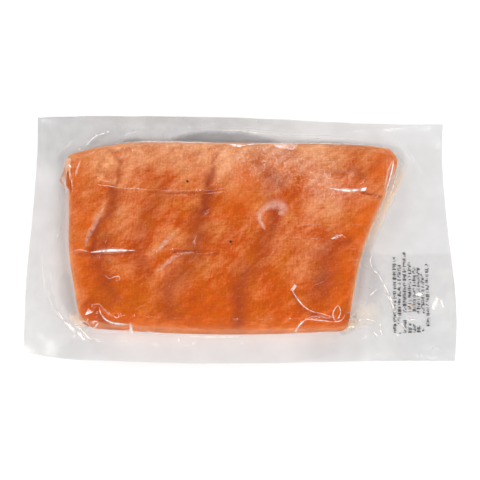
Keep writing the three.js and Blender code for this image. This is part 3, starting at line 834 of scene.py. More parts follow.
class Places:
    """The places round the pack, and the rings spread between them."""

    def __init__(self):
        steps = (LENGTH_STEPS, WIDTH_STEPS, LENGTH_STEPS, WIDTH_STEPS)
        side = np.repeat(np.arange(4), steps)
        share = np.concatenate([np.arange(n) / n for n in steps])
        self.count = sum(steps)
        # In plan: the foot of the flesh's wall, the edge of the cut film, and the way out between them
        self.foot = np.vstack([spaced(line, n) for line, n in zip(flesh_sides(), steps)])
        self.edge = np.vstack([spaced(line, n) for line, n in zip(film_edges(), steps)])
        outward = self.edge - self.foot
        self.outward = outward / np.linalg.norm(outward, axis=1, keepdims=True)
        self.flesh_reach = np.abs(self.foot).max(axis=0)
        # How far out the film comes down, how high it leaves the flesh's wall, and how high its edge is
        self.reach = round_the_pack(SLOPE_REACH, side, share)
        self.shoulder_top = flesh_top(self.inset(SHOULDER_RADIUS))
        highest = self.shoulder_top - SHOULDER_RADIUS - LEAST_WALL
        self.slope_top = np.minimum(SLOPE_STEEPNESS * self.reach, highest)
        self.curl = self.edge_curl(side, share)
        around = np.linalg.norm(np.roll(self.foot, -1, axis=0) - self.foot, axis=1).sum()
        self.pleats = round(around / PLEAT_LENGTH)

    def edge_curl(self, side, share):
        """The height of the cut edge, at a share of the way along a side."""
        wave = np.sin(FULL_TURN * WAVES_TO_A_SIDE * share) * np.sin(math.pi * share)
        curl = round_the_pack(EDGE_CURL, side, share) + np.array(EDGE_WAVES)[side] * wave
        tip_distance = np.linalg.norm(self.edge - self.edge[0], axis=1)
        return np.maximum(0, curl) + TIP_LIFT * np.maximum(0, 1 - tip_distance / TIP_REACH) ** 2

    def inset(self, distance):
        """The foot of the flesh, drawn in towards the middle."""
        return self.foot * (1 - distance / self.flesh_reach)

    def shoulder_rings(self):
        """Rings over the rounded shoulder of the flesh, from its rim to its wall."""
        rim = self.inset(SHOULDER_REACH)
        rings = [np.column_stack([rim, flesh_top(rim)])]
        for i in range(SHOULDER_STEPS + 1):
            angle = math.pi / 2 * i / SHOULDER_STEPS
            plan = self.inset(SHOULDER_RADIUS * (1 - math.sin(angle)))
            height = self.shoulder_top - SHOULDER_RADIUS * (1 - math.cos(angle))
            rings.append(np.column_stack([plan, height]))
        return rings

    def slope_rings(self):
        """Rings down the hollow slope, from the wall of the flesh to the welded margin."""
        turn = FULL_TURN * self.pleats * np.arange(self.count) / self.count
        rings = []
        for i in range(SLOPE_STEPS + 1):
            share = i / SLOPE_STEPS
            out = WALL_DRAFT + (self.reach - WALL_DRAFT) * share
            plan = self.foot + self.outward * out[:, None]
            height = (self.slope_top - MARGIN_THICKNESS) * (1 - share) ** SLOPE_HOLLOW
            pleat = np.sin(turn) * math.sin(math.pi * share)
            slack = PLEAT_HEIGHT * share * (pleat + 1 - share) + share * self.slack(plan)
            rings.append(np.column_stack([plan, MARGIN_THICKNESS + height + slack]))
        return rings

    def slack(self, plan):
        """How far the upper film stands off the under film where it is slack."""
        height, *creases = SLACK_CREASES
        return height * np.maximum(0, SLACK_SHARE + crumple(plan, *creases))

    def margin_plan(self, share):
        """A ring in plan, at a share of the way over the margin."""
        start = self.foot + self.outward * self.reach[:, None]
        return start + (self.edge - start) * share

    def margin_rings(self, above, slack):
        """Rings over the margin, lifted above its under side and by a share of the film's slack."""
        wave_height, *waves = MARGIN_WAVES
        rings = []
        for i in range(MARGIN_STEPS):
            share = (i + 1) / MARGIN_STEPS
            plan = self.margin_plan(share)
            waving = wave_height * ripples(plan, *waves) * share
            lift = slack * (1 - share) ** SLACK_FADE * self.slack(plan)
            height = np.maximum(0, self.curl * share**CURL_HOLLOW + waving) + lift + above
            rings.append(np.column_stack([plan, height]))
        return rings


PLACES = Places()


# Meshes


def border_of(grid):
    """The indices round a grid, starting at its near left corner and going round to the right."""
    return np.concatenate([grid[0, :-1], grid[:-1, -1], grid[-1, :0:-1], grid[:0:-1, 0]])


def closed_skin(top, rings, bottom):
    """Points and faces of a closed skin: a patch on top, rings round it, and a patch below."""
    points = np.vstack([top.reshape(-1, 3), *rings, bottom.reshape(-1, 3)])
    grid = np.arange(top.shape[0] * top.shape[1]).reshape(top.shape[:2])
    inner = border_of(grid)
    loops = [grid.size + i * len(inner) + np.arange(len(inner)) for i in range(len(rings))]
    under = grid + grid.size + len(inner) * len(rings)
    loops = [inner, *loops, border_of(under)]
    corners = (grid[:-1, :-1], grid[:-1, 1:], grid[1:, 1:], grid[1:, :-1])
    upper = np.stack(corners, axis=-1).reshape(-1, 4)
    bands = [
        np.stack([outer, np.roll(outer, -1), np.roll(inner, -1), inner], axis=1)
        for inner, outer in zip(loops, loops[1:])
    ]
    return points, np.vstack([upper, *bands, upper[:, ::-1] + under[0, 0]])


def with_height(plan, height):
    """A grid in plan, lifted to its heights."""
    return np.concatenate([plan, np.broadcast_to(height, plan.shape[:2])[..., None]], axis=2)


def thickened(top, rings, thickness):
    """The same patch and rings, moved inwards by a thickness."""
    points, faces = closed_skin(top, rings, np.zeros_like(top))
    first, around = top.shape[0] * top.shape[1], len(rings[0])
    used = faces[(faces < len(points) - first).all(axis=1)]
    a, b, c, d = (points[used[:, i]] for i in range(4))
    turned = np.cross(c - a, d - b)
    normals = np.zeros_like(points)
    for i in range(4):
        np.add.at(normals, used[:, i], turned)
    normals /= np.maximum(np.linalg.norm(normals, axis=1, keepdims=True), 1e-12)
    moved = points - normals * thickness
    inner = [moved[first + i * around : first + (i + 1) * around] for i in range(len(rings))]
    return moved[:first].reshape(top.shape), inner


class Skin:
    """A surface that other things are laid on from above."""

    def __init__(self, points, faces):
        self.tree = BVHTree.FromPolygons(points.tolist(), faces.tolist())

    def height(self, plan):
        """The height of the surface at places in plan."""
        above, down = 100, Vector((0, 0, -1))
        hits = (self.tree.ray_cast(Vector((x, y, above)), down)[0] for x, y in plan.reshape(-1, 2))
        return np.array([hit.z if hit else 0 for hit in hits]).reshape(plan.shape[:-1])


def home(points):
    """Points of the drawing, moved so that the pack stands where its solid does, in metres."""
    low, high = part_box(NODE)
    middle = (PLACES.edge.min(axis=0) + PLACES.edge.max(axis=0)) / 2
    moved = np.array(points, float)
    moved[..., :2] += np.array((low + high) / 2)[:2] / MM - middle
    return moved * MM


def join(parts):
    """Points, faces and masks of several parts as one."""
    points = np.vstack([part[0] for part in parts])
    starts = np.cumsum([0] + [len(part[0]) for part in parts[:-1]])
    faces = np.vstack([part[1] + start for part, start in zip(parts, starts)])
    masks = {name: np.concatenate([part[2][name] for part in parts]) for name in parts[0][2]}
    return points, faces, masks


def add_piece(name, points, faces, masks, material, slot, shadow=True):
    """Makes a mesh object of the pack that rides on its body and stands for its solid.

    Masks are values at its points, by name. What is clear casts no shadow.
    """
    mesh = bpy.data.meshes.new(name)
    mesh.from_pydata(home(points).tolist(), [], np.asarray(faces).tolist())
    mesh.shade_smooth()
    for mask, values in masks.items():
        attribute = mesh.attributes.new(mask, "FLOAT", "POINT")
        attribute.data.foreach_set("value", np.asarray(values, np.float32))
    mesh.materials.append(material)
    piece = bpy.data.objects.new(name, mesh)
    piece.visible_shadow = shadow
    bpy.context.scene.collection.objects.link(piece)
    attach(piece, "root")
    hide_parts(NODE)


def ridge(line, widths, height, skin, across=7, step=0.7, lift=RIDGE_LIFT, blunt=0.6):
    """A low closed ridge that follows a line over a skin and tapers at both ends.

    It has a number of points across and a step along, and a low value of blunt makes its ends blunter. It
    comes as points, faces, and a value that is 1 along the crest and 0 at both sides.
    """
    length = np.linalg.norm(np.diff(line, axis=0), axis=1).sum()
    steps = max(6, round(length / step))
    line = spaced(line, steps, last=True)
    t = np.linspace(0, 1, steps + 1)
    taper = np.maximum(np.sin(math.pi * t), 0) ** blunt
    width = np.maximum(np.interp(t, np.linspace(0, 1, len(widths)), widths) * taper, 0.1)
    ahead = np.gradient(line, axis=0)
    ahead /= np.linalg.norm(ahead, axis=1, keepdims=True)
    sideways = np.column_stack([ahead[:, 1], -ahead[:, 0]])
    u = np.linspace(-0.5, 0.5, across)
    plan = line[:, None] + sideways[:, None] * (u[None] * width[:, None])[..., None]
    ground = skin.height(plan)
    crest = np.broadcast_to(1 - (2 * u) ** 2, ground.shape)
    top = with_height(plan, ground + height * taper[:, None] * crest + lift)
    base = with_height(plan, ground + lift - RIDGE_ROOT)
    points, faces = closed_skin(top, [], base)
    return points, faces, np.concatenate([crest.reshape(-1), np.zeros(crest.size)])


# Materials


class Wire:
    """A value in a material's nodes. Arithmetic on it adds Math nodes."""

    def __init__(self, finish, socket):
        self.finish = finish
        self.socket = socket

    def _math(self, operation, *values):
        return self.finish.node("ShaderNodeMath", {"operation": operation}, dict(enumerate(values)))

    def __add__(self, other):
        return self._math("ADD", self, other)

    def __sub__(self, other):
        return self._math("SUBTRACT", self, other)

    def __rsub__(self, other):
        return self._math("SUBTRACT", other, self)

    def __mul__(self, other):
        return self._math("MULTIPLY", self, other)

    def __pow__(self, other):
        return self._math("POWER", self, other)

    def __abs__(self):
        return self._math("ABSOLUTE", self)

    __radd__ = __add__
    __rmul__ = __mul__

    def between(self, low, high):
        """0 below low, 1 above high, and a smooth rise between them."""
        return self.finish.node(
            "ShaderNodeMapRange",
            {"interpolation_type": "SMOOTHSTEP"},
            {"Value": self, "From Min": low, "From Max": high},
        )


class Finish:
    """The nodes of a material, or of the surroundings, while they are put together."""

    def __init__(self, owner):
        owner.use_nodes = True
        self.owner = owner
        self.nodes = owner.node_tree.nodes
        self.links = owner.node_tree.links
        self.nodes.clear()

    def node(self, kind, settings, sockets, out=0):
        """Adds a node with its settings, then its sockets' values or links, and returns one output."""
        made = self.nodes.new(kind)
        for name, value in settings.items():
            setattr(made, name, value)
        for name, value in sockets.items():
            if isinstance(value, Wire):
                self.links.new(value.socket, made.inputs[name])
            else:
                made.inputs[name].default_value = value
        return Wire(self, made.outputs[out]) if made.outputs else None

    def place(self):
        """The place on the object, in metres."""
        return self.node("ShaderNodeTexCoord", {}, {}, "Object")

    def stretched(self, turn, along, across=1.0):
        """The place, with patterns drawn out along a direction in plan."""
        return self.node(
            "ShaderNodeMapping",
            {"vector_type": "TEXTURE"},
            {"Vector": self.place(), "Rotation": (0, 0, turn), "Scale": (along, across, 1)},
        )

    def mask(self, name):
        """A value that the mesh carries at its points."""
        return self.node("ShaderNodeAttribute", {"attribute_name": name}, {}, "Fac")

    def noise(self, size, detail=2.0, roughness=0.5, vector=None, swirl=0.0):
        """Soft random noise from about 0 to 1, with patches of a size in millimetres."""
        sockets = {"Scale": 1 / (size * MM), "Detail": detail, "Roughness": roughness, "Distortion": swirl}
        return self.node("ShaderNodeTexNoise", {}, {"Vector": vector or self.place(), **sockets}, "Fac")

    def blend(self, share, first, second):
        """A colour between two colours."""
        first, second = (c if isinstance(c, Wire) else (*c[:3], 1) for c in (first, second))
        return self.node("ShaderNodeMix", {"data_type": "RGBA"}, {0: share, 6: first, 7: second}, 2)

    def scaled(self, colour, share):
        """A colour made lighter or darker."""
        return self.node("ShaderNodeVectorMath", {"operation": "SCALE"}, {0: colour, "Scale": share})

    def bump(self, height, distance, strength=1.0):
        """A normal that is roughened by a height, with a distance in millimetres."""
        sockets = {"Height": height, "Distance": distance * MM, "Strength": strength}
        return self.node("ShaderNodeBump", {}, sockets)

    def mix(self, share, first, second):
        """A shader between two shaders."""
        return self.node("ShaderNodeMixShader", {}, {0: share, 1: first, 2: second})

    def matt(self, colour):
        """A shader of one even colour without gloss."""
        return self.node("ShaderNodeBsdfDiffuse", {}, {"Color": (*colour[:3], 1)})

    def clear(self):
        """A shader that lets all light through."""
        return self.node("ShaderNodeBsdfTransparent", {}, {})

    def gloss(self, body, normal, roughness, least=0.012, most=0.5):
        """A shader under a clear gloss that mirrors little face on and most at a glancing angle."""
        facing = self.node("ShaderNodeLayerWeight", {}, {"Blend": 0.5, "Normal": normal}, "Facing")
        mirror = {"Color": (1, 1, 1, 1), "Roughness": roughness, "Normal": normal}
        mirror = self.node("ShaderNodeBsdfGlossy", {}, mirror)
        return self.mix(facing**5 * (most - least) + least, body, mirror)

    def done(self, shader, output="ShaderNodeOutputMaterial"):
        """Puts a shader on the owner's surface and returns the owner."""
        self.node(output, {}, {"Surface": shader})
        return self.owner


def new_finish(name):
    """An empty material."""
    return Finish(bpy.data.materials.new(name))


def flesh_finish(settings):
    """Moist raw salmon: deep bands with painted shade in their valleys and furrows, pale fat between the
    flakes with painted highlights on ridges, cut sides lightened with painted light, and a whitish bloom.
    """
    finish = new_finish("salmon_flesh")

    def unrest(size, detail, swirl=0.0, vector=None):
        """Soft noise, mostly between -1 and 1."""
        return (finish.noise(size, detail, 0.6, vector, swirl) - 0.5) * (4 + detail)

    cloud, grain = unrest(19, 1, swirl=0.4), unrest(0.9, 1)
    mottle = unrest(6, 2, swirl=0.3, vector=finish.stretched(0.8, 2.0))
    flake = unrest(2.4, 1, swirl=0.2, vector=finish.stretched(0.7, 3.2))
    lengthwise = unrest(0.8, 1, vector=finish.stretched(0.05, 6.0))
    crosswise = unrest(0.8, 1, vector=finish.stretched(math.pi / 2 - 0.1, 5.0))
    fibre = lengthwise + crosswise
    unevenness = cloud * 0.13 + mottle * 0.15 + flake * 0.1 + fibre * 0.06 + grain * 0.075
    # The paleness mask holds the pale fat and painted highlights on ridges
    tone = finish.mask("paleness") + unevenness
    colour = finish.blend(tone, settings.flesh, settings.pale)
    amber = unrest(12, 2, swirl=0.5) * 0.6 + 0.4
    colour = finish.blend(amber, colour, finish.blend(tone, settings.amber, settings.pale))
    glow = finish.mask("glow") * (0.8 + mottle * 0.3)
    colour = finish.blend(glow, colour, settings.glow)
    # Bands: darker muscle, with painted shade along the valleys and in the furrows
    band = finish.mask("band") * (0.9 + mottle * 0.25 + fibre * 0.1) - tone * 0.3 + 0.04
    colour = finish.blend(band, colour, settings.deep)
    # Sides: paler cut flesh, lightened further with painted light
    side = finish.mask("side") * (0.75 + mottle * 0.15)
    colour = finish.blend(side, colour, settings.side)
    threads = 1 - abs(unrest(3.4, 1, swirl=1.0)).between(0.0, 0.16)
    cells = 1 - abs(unrest(2.2, 0, swirl=0.8, vector=finish.stretched(1.9, 1.8))).between(0.0, 0.18)
    veil = finish.mask("bloom") * (0.06 + mottle * 0.14 + threads * 0.42 + cells * 0.42)
    colour = finish.blend(veil, colour, settings.bloom)
    colour = finish.scaled(colour, 0.98 + unevenness * 0.25 + (flake + fibre + grain) * 0.03)
    flecks = unrest(0.6, 1).between(0.9, 1.5) * 0.3
    colour = finish.blend(flecks, colour, settings.bloom)
    shader = finish.node(
        "ShaderNodeBsdfPrincipled",
        {"subsurface_method": "RANDOM_WALK"},
        {
            "Base Color": colour,
            "Roughness": 0.5,
            "Specular IOR Level": 0.1,
            "Subsurface Weight": 0.05,
            "Subsurface Radius": (1, 0.35, 0.18),
            "Subsurface Scale": 0.002,
            "Normal": finish.bump(grain * 0.1 + mottle * 0.03 + fibre * 0.1, 0.5, strength=0.7),
        },
    )
    return finish.done(shader)


def film_finish(name, settings, tint=None, roughness=None, streak_size=14, uneven=0.1):
    """Clear film: mostly see-through, glossy, and milky where its mask says so, in uneven streaks, turning
    to the painted shade colour where its shade mask says so.
    """
    finish = new_finish(name)
    haze, shade = finish.mask("haze"), finish.mask("shade")
    cloud = finish.noise(10, detail=3, roughness=0.6, vector=finish.stretched(1.2, 2.2))
    fine = finish.noise(1.3, roughness=0.6)
    normal = finish.bump(cloud * 0.6 + fine * (0.3 + finish.mask("rough") * 1.6), 0.3, strength=0.8)
    milk = finish.mix(shade, finish.matt(tint or settings.milk), finish.matt(settings.shadow))
    streaks = finish.noise(streak_size, roughness=0.6).between(0.25, 0.7)
    body = finish.mix(haze * (1 - uneven + streaks * uneven * 2), finish.clear(), milk)
    return finish.done(finish.gloss(body, normal, roughness or settings.roughness))


def plain_finish(name, colour, roughness):
    """An even colour with a little grain."""
    finish = new_finish(name)
    tone = finish.blend(finish.noise(0.4).between(0.3, 0.7) * 0.3, colour, [c * 0.6 for c in colour])
    sockets = {"Base Color": tone, "Roughness": roughness}
    return finish.done(finish.node("ShaderNodeBsdfPrincipled", {}, sockets))


def juice_finish(settings):
    """Wet, pale straw juice that shows where its mask says so."""
    finish = new_finish("meat_juice")
    streak = finish.noise(3, detail=3, roughness=0.6)
    juice, thin_juice = finish.matt(settings.juice), finish.matt(settings.thin_juice)
    body = finish.mix(streak.between(0.35, 0.7), juice, thin_juice)
    body = finish.mix(finish.mask("haze") * (0.4 + streak * 1.2), finish.clear(), body)
    return finish.done(finish.gloss(body, finish.bump(streak, 0.2, strength=0.4), roughness=0.1))


def flesh_masks(points):
    """The values that the flesh's mesh carries for its colours."""
    plan = points[:, :2]
    wander = plan.copy()
    for i, (length, reach) in enumerate(WANDER):
        seeds = (WANDER_SEED + 2 * i, WANDER_SEED + 2 * i + 1)
        wander += reach * np.column_stack([ripples(plan, length, WANDER_WAVES, seed) for seed in seeds])
    glow, bloom = strokes(wander, GLOWS), strokes(wander, BLOOMS)
    steady = (plan + wander) / 2
    rows, row_paleness = np.array(PALENESS).T
    paleness = np.interp(wander[:, 1], rows, row_paleness)
    # Pale fat, with painted highlights along ridges, folds and lit rims
    paleness += PALES_AND_SHEEN_SHARE * strokes(wander, PALES_AND_SHEEN + RAISED_PALES_AND_SHEEN)
    drop = flesh_top(plan) - points[:, 2]
    near = smooth_step(-plan[:, 1], *NEAR_SIDE)
    sides = (SIDE_START, SIDE_FULL, SIDE_STRENGTH)
    start, full, strength = (np.interp(near, (0, 1), pair) for pair in sides)
    return {
        # Darker muscle bands with painted shade along their valleys, and painted shade in the furrows
        "band": np.maximum(strokes(steady, BANDS_AND_SHADE), strokes(plan, FURROWS)),
        "paleness": paleness + BLOOM_SHARE * bloom + GLOW_SHARE * glow,
        "glow": glow,
        "bloom": bloom,
        # The sides: paler cut flesh and painted light
        "side": smooth_step(drop, start, full) * strength,
    }


# Settings


def colour_setting(name, description, default):
    """A colour that a user can change."""
    return FloatVectorProperty(
        name=name, description=description, subtype="COLOR", min=0, max=1, default=default
    )


class SalmonSettings(PropertyGroup):
    """The colours of the flesh and the juice"""

    flesh: colour_setting("Flesh", "Colour of the flesh", srgb(197, 78, 6))
    amber: colour_setting("Amber flesh", "Colour of the more yellow patches", srgb(198, 94, 8))
    glow: colour_setting("Bright flesh", "Colour of the most orange flesh", srgb(208, 90, 6))
    # The deep bands, also the colour of the painted shade in valleys and furrows
    deep: colour_setting("Bands", "Colour of the deep bands", srgb(150, 58, 26))
    # The pale fat, also the colour of the painted highlights on ridges
    pale: colour_setting("Pale flesh", "Colour of the fat between the flakes", srgb(224, 158, 110))
    # The paler cut sides, lightened with painted light
    side: colour_setting("Sides", "Colour of the cut sides", srgb(244, 150, 80))
    bloom: colour_setting("Bloom", "Colour of the whitish bloom", srgb(236, 194, 178))
    juice: colour_setting("Juice", "Colour of the juice", srgb(244, 208, 160))
    thin_juice: colour_setting("Thin juice", "Colour of the juice where it is thin", srgb(238, 222, 204))
    speck: colour_setting("Specks", "Colour of the dark specks", srgb(52, 24, 18))


class FilmSettings(PropertyGroup):
    """The film and the print on it"""

    thickness: FloatProperty(
        name="Film thickness",
        description="Thickness of each film",
        subtype="DISTANCE",
        unit="LENGTH",
        default=0.2 * MM,
    )
    roughness: FloatProperty(
        name="Roughness",
        description="Roughness of the film's gloss",
        subtype="FACTOR",
        min=0,
        max=1,
        default=0.1,
    )
    milk: colour_setting("Milk", "Colour of the film's haze", srgb(150, 148, 148))
    # The colour of the painted shade where the film stands off
    shadow: colour_setting("Pockets", "Colour of the film where it stands off", srgb(84, 78, 80))
    # The pinched film's colour, partly stressed film and partly painted highlight
    white_and_highlight: colour_setting("Pinches", "Colour of the pinched film", srgb(255, 249, 244))
    ink: colour_setting("Ink", "Colour of the print", srgb(22, 18, 17))


class StudioSettings(PropertyGroup):
    """The camera, the light all round and the floor"""

    elevation: FloatProperty(
        name="Elevation",
        description="Height of the camera above the horizon",
        subtype="ANGLE",
        unit="ROTATION",
        default=math.radians(70),
    )
    distance: FloatProperty(
        name="Distance",
        description="Distance of the camera",
        subtype="DISTANCE",
        unit="LENGTH",
        default=0.64,
    )
    lens: FloatProperty(name="Lens", description="Focal length", unit="CAMERA", default=103)
    fill: FloatProperty(
        name="Fill light", description="Strength of the light from low all round", min=0, default=0.85
    )
    sky: FloatProperty(name="Sky", description="Strength of the light from overhead", min=0, default=0.14)
    floor: colour_setting("Floor", "Colour of the floor", (0.92, 0.92, 0.92))


# Pieces


def top_skin():
    """The outer face of the upper film: the patch over the flesh, and the rings round it."""
    shoulder = PLACES.shoulder_rings()
    plan = patch(shoulder[0], LENGTH_STEPS, WIDTH_STEPS)
    top = with_height(plan, flesh_top(plan.reshape(-1, 2)).reshape(plan.shape[:2]))
    return top, shoulder[1:], PLACES.slope_rings(), PLACES.margin_rings(MARGIN_THICKNESS, 1)


def film_skin():
    """Points and faces of the closed film: its top, its cut edge and its flat back."""
    top, shoulder, slope, margin = top_skin()
    plan = PLACES.margin_plan(0)
    back = [*PLACES.margin_rings(0, 0)[::-1], np.column_stack([plan, np.zeros(len(plan))])]
    rows = patch(plan, LENGTH_STEPS, WIDTH_STEPS)
    return closed_skin(top, shoulder + slope + margin + back[:-1], with_height(rows, 0))


@functools.cache
def film_surface():
    """The outer face of the film, for what lies on it or just under it."""
    return Skin(*film_skin())


def film_masks(points):
    """How milky the film is, how dark its painted shade is, and how rough it is at its points."""
    plan = points[:, :2]
    flesh = smooth_step(points[:, 2], *CLEAR_FROM)
    # Painted shade where the slack film stands off
    pocket_shade = np.maximum(within(plan, SHADED_POCKETS, POCKET_SHADE_EDGE), strokes(plan, SHADED_POCKET_CORES)) * (1 - flesh)
    x, y = plan[:, 0], plan[:, 1]
    printed = smooth_step(x, *PRINT_FIELD_X) * smooth_step(-y, *PRINT_FIELD_Y)
    far_left = smooth_step(-x, *FAR_LEFT_X) * smooth_step(y, *FAR_LEFT_Y)
    # Near the middle of the near side the film is cleared as painted light over the flesh's shadow
    near_middle = smooth_step(-np.abs(x - NEAR_MIDDLE), *NEAR_MIDDLE_X) * smooth_step(-y, *NEAR_MIDDLE_Y)
    milk = 1 + PRINT_FIELD_MILK * printed + FAR_LEFT_MILK * far_left + NEAR_MIDDLE_LIGHTENING * near_middle
    return {
        "haze": FILM_HAZE * milk * (1 - flesh) + POCKET_SHADE_HAZE * pocket_shade,
        "shade": np.clip(POCKET_SHADE * pocket_shade, 0, 1),
        "rough": strokes(plan, BLOOMS) * flesh,
    }


class SALMON_OT_portion(Operator):
    """Makes the salmon portion"""

    bl_idname = "salmon.portion"
    bl_label = "Salmon portion"

    def execute(self, context):
        thickness = context.scene.salmon_film.thickness / MM
        top, shoulder, _, _ = top_skin()
        top, rings = thickened(top, shoulder, thickness + FILM_GAP)
        foot = rings[-1]
        bottom = thickness
        for i in range(1, WALL_STEPS + 1):
            height = foot[:, 2] + (bottom + WALL_FOOT - foot[:, 2]) * i / WALL_STEPS
            rings.append(np.column_stack([foot[:, :2], height]))
        for i in range(1, FOOT_STEPS + 1):
            angle = math.pi / 2 * i / FOOT_STEPS
            plan = foot[:, :2] * (1 - WALL_FOOT * (1 - math.cos(angle)) / PLACES.flesh_reach)
            height = np.full(len(plan), bottom + WALL_FOOT * (1 - math.sin(angle)))
            rings.append(np.column_stack([plan, height]))
        base = with_height(patch(rings[-1], LENGTH_STEPS, WIDTH_STEPS), bottom)
        points, faces = closed_skin(top, rings[:-1], base)
        finish = flesh_finish(context.scene.salmon)
        add_piece("salmon_portion", points, faces, flesh_masks(points), finish, "salmon_flesh")
        return {"FINISHED"}


class SALMON_OT_film(Operator):
    """Makes the closed film, drawn down over the flesh and flat at its back"""

    bl_idname = "salmon.film"
    bl_label = "Pouch film"

    def execute(self, context):
        points, faces = film_skin()
        finish = film_finish("pouch_film", context.scene.salmon_film)
        add_piece("pouch_film", points, faces, film_masks(points), finish, "clear_film", shadow=False)
        return {"FINISHED"}


def pinched_ridges():
    """The film's pinches, and a faint, broader ridge of painted soft highlight under each of the whitest."""
    ridges = []
    for points, widths, height, white_and_highlight in PINCHES:
        line, widths = through(points), np.array(widths)
        ridges.append((line, widths, height, white_and_highlight, RIDGE_LIFT))
        if white_and_highlight > WHITE_FROM:
            share = HALO_WHITENESS * white_and_highlight
            ridges.append((line, widths * HALO_WIDTH, height * HALO_HEIGHT, share, HALO_LIFT))
    return ridges


def wrinkles():
    """Short bowed ridges, scattered over the boxes where the film is slack."""
    rng = np.random.default_rng(WRINKLE_SEED)
    ridges = []
    for (left, near, right, far), count, turn, length, white_and_highlight in WRINKLES:
        for _ in range(count):
            middle = rng.uniform((left, near), (right, far))
            way = turn + rng.uniform(*WRINKLE_TURNS)
            reach = np.array([math.cos(way), math.sin(way)]) * length * rng.uniform(*WRINKLE_HALVES)
            bow = np.array([-reach[1], reach[0]]) * rng.uniform(*WRINKLE_BOWS)
            line = bend(middle - reach, middle + bow, middle + reach, BEND_STEPS)
            widths = (WRINKLE_START, rng.uniform(*WRINKLE_ENDS))
            ridges.append((line, widths, WRINKLE_HEIGHT, white_and_highlight * rng.uniform(*WRINKLE_WHITES), RIDGE_LIFT))
    return ridges


class SALMON_OT_pinches(Operator):
    """Makes the low ridges and wrinkles that are pinched up in the film, whitened partly from stress and
    partly with painted highlights
    """

    bl_idname = "salmon.pinches"
    bl_label = "Pinched film"

    def execute(self, context):
        settings = context.scene.salmon_film
        skin = film_surface()
        parts = []
        for corners, white_and_highlight in FACETS:
            rows = sheet(corners, FACET_STEPS)
            ground = skin.height(rows)
            top, base = (with_height(rows, ground + away) for away in (FACET_LIFT, -FACET_ROOT))
            points, faces = closed_skin(top, [], base)
            parts.append((points, faces, {"haze": np.full(len(points), white_and_highlight)}))
        for line, widths, height, white_and_highlight, lift in pinched_ridges() + wrinkles():
            points, faces, crest = ridge(line, widths, height, skin, lift=lift)
            parts.append((points, faces, {"haze": white_and_highlight * (RIDGE_SIDES + (1 - RIDGE_SIDES) * crest)}))
        white_and_highlight = settings.white_and_highlight
        finish = film_finish("pinched_film", settings, white_and_highlight, roughness=0.12, streak_size=1.8, uneven=0.8)
        add_piece("pinched_film", *join(parts), finish, "clear_film", shadow=False)
        return {"FINISHED"}


class SALMON_OT_juice(Operator):
    """Makes the shallow pools of juice between the films"""

    bl_idname = "salmon.juice"
    bl_label = "Juice"

    def execute(self, context):
        skin = film_surface()
        parts = []
        for outline, depth, strength in POOLS:
            rows = patch(spaced(round_about(outline), 4 * POOL_STEPS), POOL_STEPS, POOL_STEPS)
            s = np.linspace(-1, 1, POOL_STEPS + 1)
            dome = np.sqrt((1 - s[None] ** 2) * (1 - s[:, None] ** 2))
            tint = strength * (dome**2).reshape(-1)
            height = np.minimum(POOL_BASE + POOL_RIM + depth * dome, skin.height(rows) - POOL_COVER)
            points, faces = closed_skin(with_height(rows, height), [], with_height(rows, POOL_BASE))
            parts.append((points, faces, {"haze": np.concatenate([tint, tint])}))
        finish = juice_finish(context.scene.salmon)
        add_piece("juice", *join(parts), finish, "meat_juice", shadow=False)
        return {"FINISHED"}


class SALMON_OT_flap(Operator):
    """Makes the thin flap of flesh that is folded against the left wall"""

    bl_idname = "salmon.flap"
    bl_label = "Folded flap"

    def execute(self, context):
        skin = film_surface()
        fold = ridge(through(FLAP), FLAP_WIDTHS, FLAP_HEIGHT, skin)[:2]
        rows = sheet(FLAP_SHEET, FLAP_STEPS)
        top = skin.height(rows) - FLAP_SHEET_DEPTH
        outer = closed_skin(with_height(rows, top), [], with_height(rows, top - FLAP_SHEET_THICKNESS))
        parts = []
        for (points, faces), tones in ((fold, FOLD_TONES), (outer, SHEET_TONES)):
            masks = {name: np.full(len(points), tone) for name, tone in tones.items()}
            parts.append((points, faces, masks))
        add_piece("flesh_flap", *join(parts), bpy.data.materials["salmon_flesh"], "salmon_flesh")
        return {"FINISHED"}


class SALMON_OT_thread(Operator):
    """Makes the pale thread of connective tissue that shows under the film"""

    bl_idname = "salmon.thread"
    bl_label = "Pale thread"

    def execute(self, context):
        settings, tint = context.scene.salmon_film, context.scene.salmon.bloom
        line, skin = through(THREAD), film_surface()
        form = ridge(line, THREAD_WIDTHS, THREAD_HEIGHT, skin, across=11, step=0.6, blunt=0.3)
        points, faces, crest = form
        masks = {"haze": THREAD_WHITENESS * crest**1.5}
        finish = film_finish("pale_thread", settings, tint, roughness=0.3, streak_size=3, uneven=0.35)
        add_piece("pale_thread", points, faces, masks, finish, "salmon_flesh", shadow=False)
        return {"FINISHED"}


class SALMON_OT_specks(Operator):
    """Makes the small dark specks on the flesh"""

    bl_idname = "salmon.specks"
    bl_label = "Dark specks"

    def execute(self, context):
        skin = film_surface()
        parts = []
        for x, y, size in SPECKS:
            line = np.array([(x - size / 2, y + size), (x + size / 2, y - size)])
            width = SPECK_BREADTH * size
            form = ridge(line, (width, width), SPECK_HEIGHT, skin, across=5, step=size / 4, blunt=0.5)
            parts.append((*form[:2], {}))
        finish = plain_finish("dark_specks", context.scene.salmon.speck, roughness=0.4)
        add_piece("dark_specks", *join(parts), finish, "salmon_flesh")
        return {"FINISHED"}


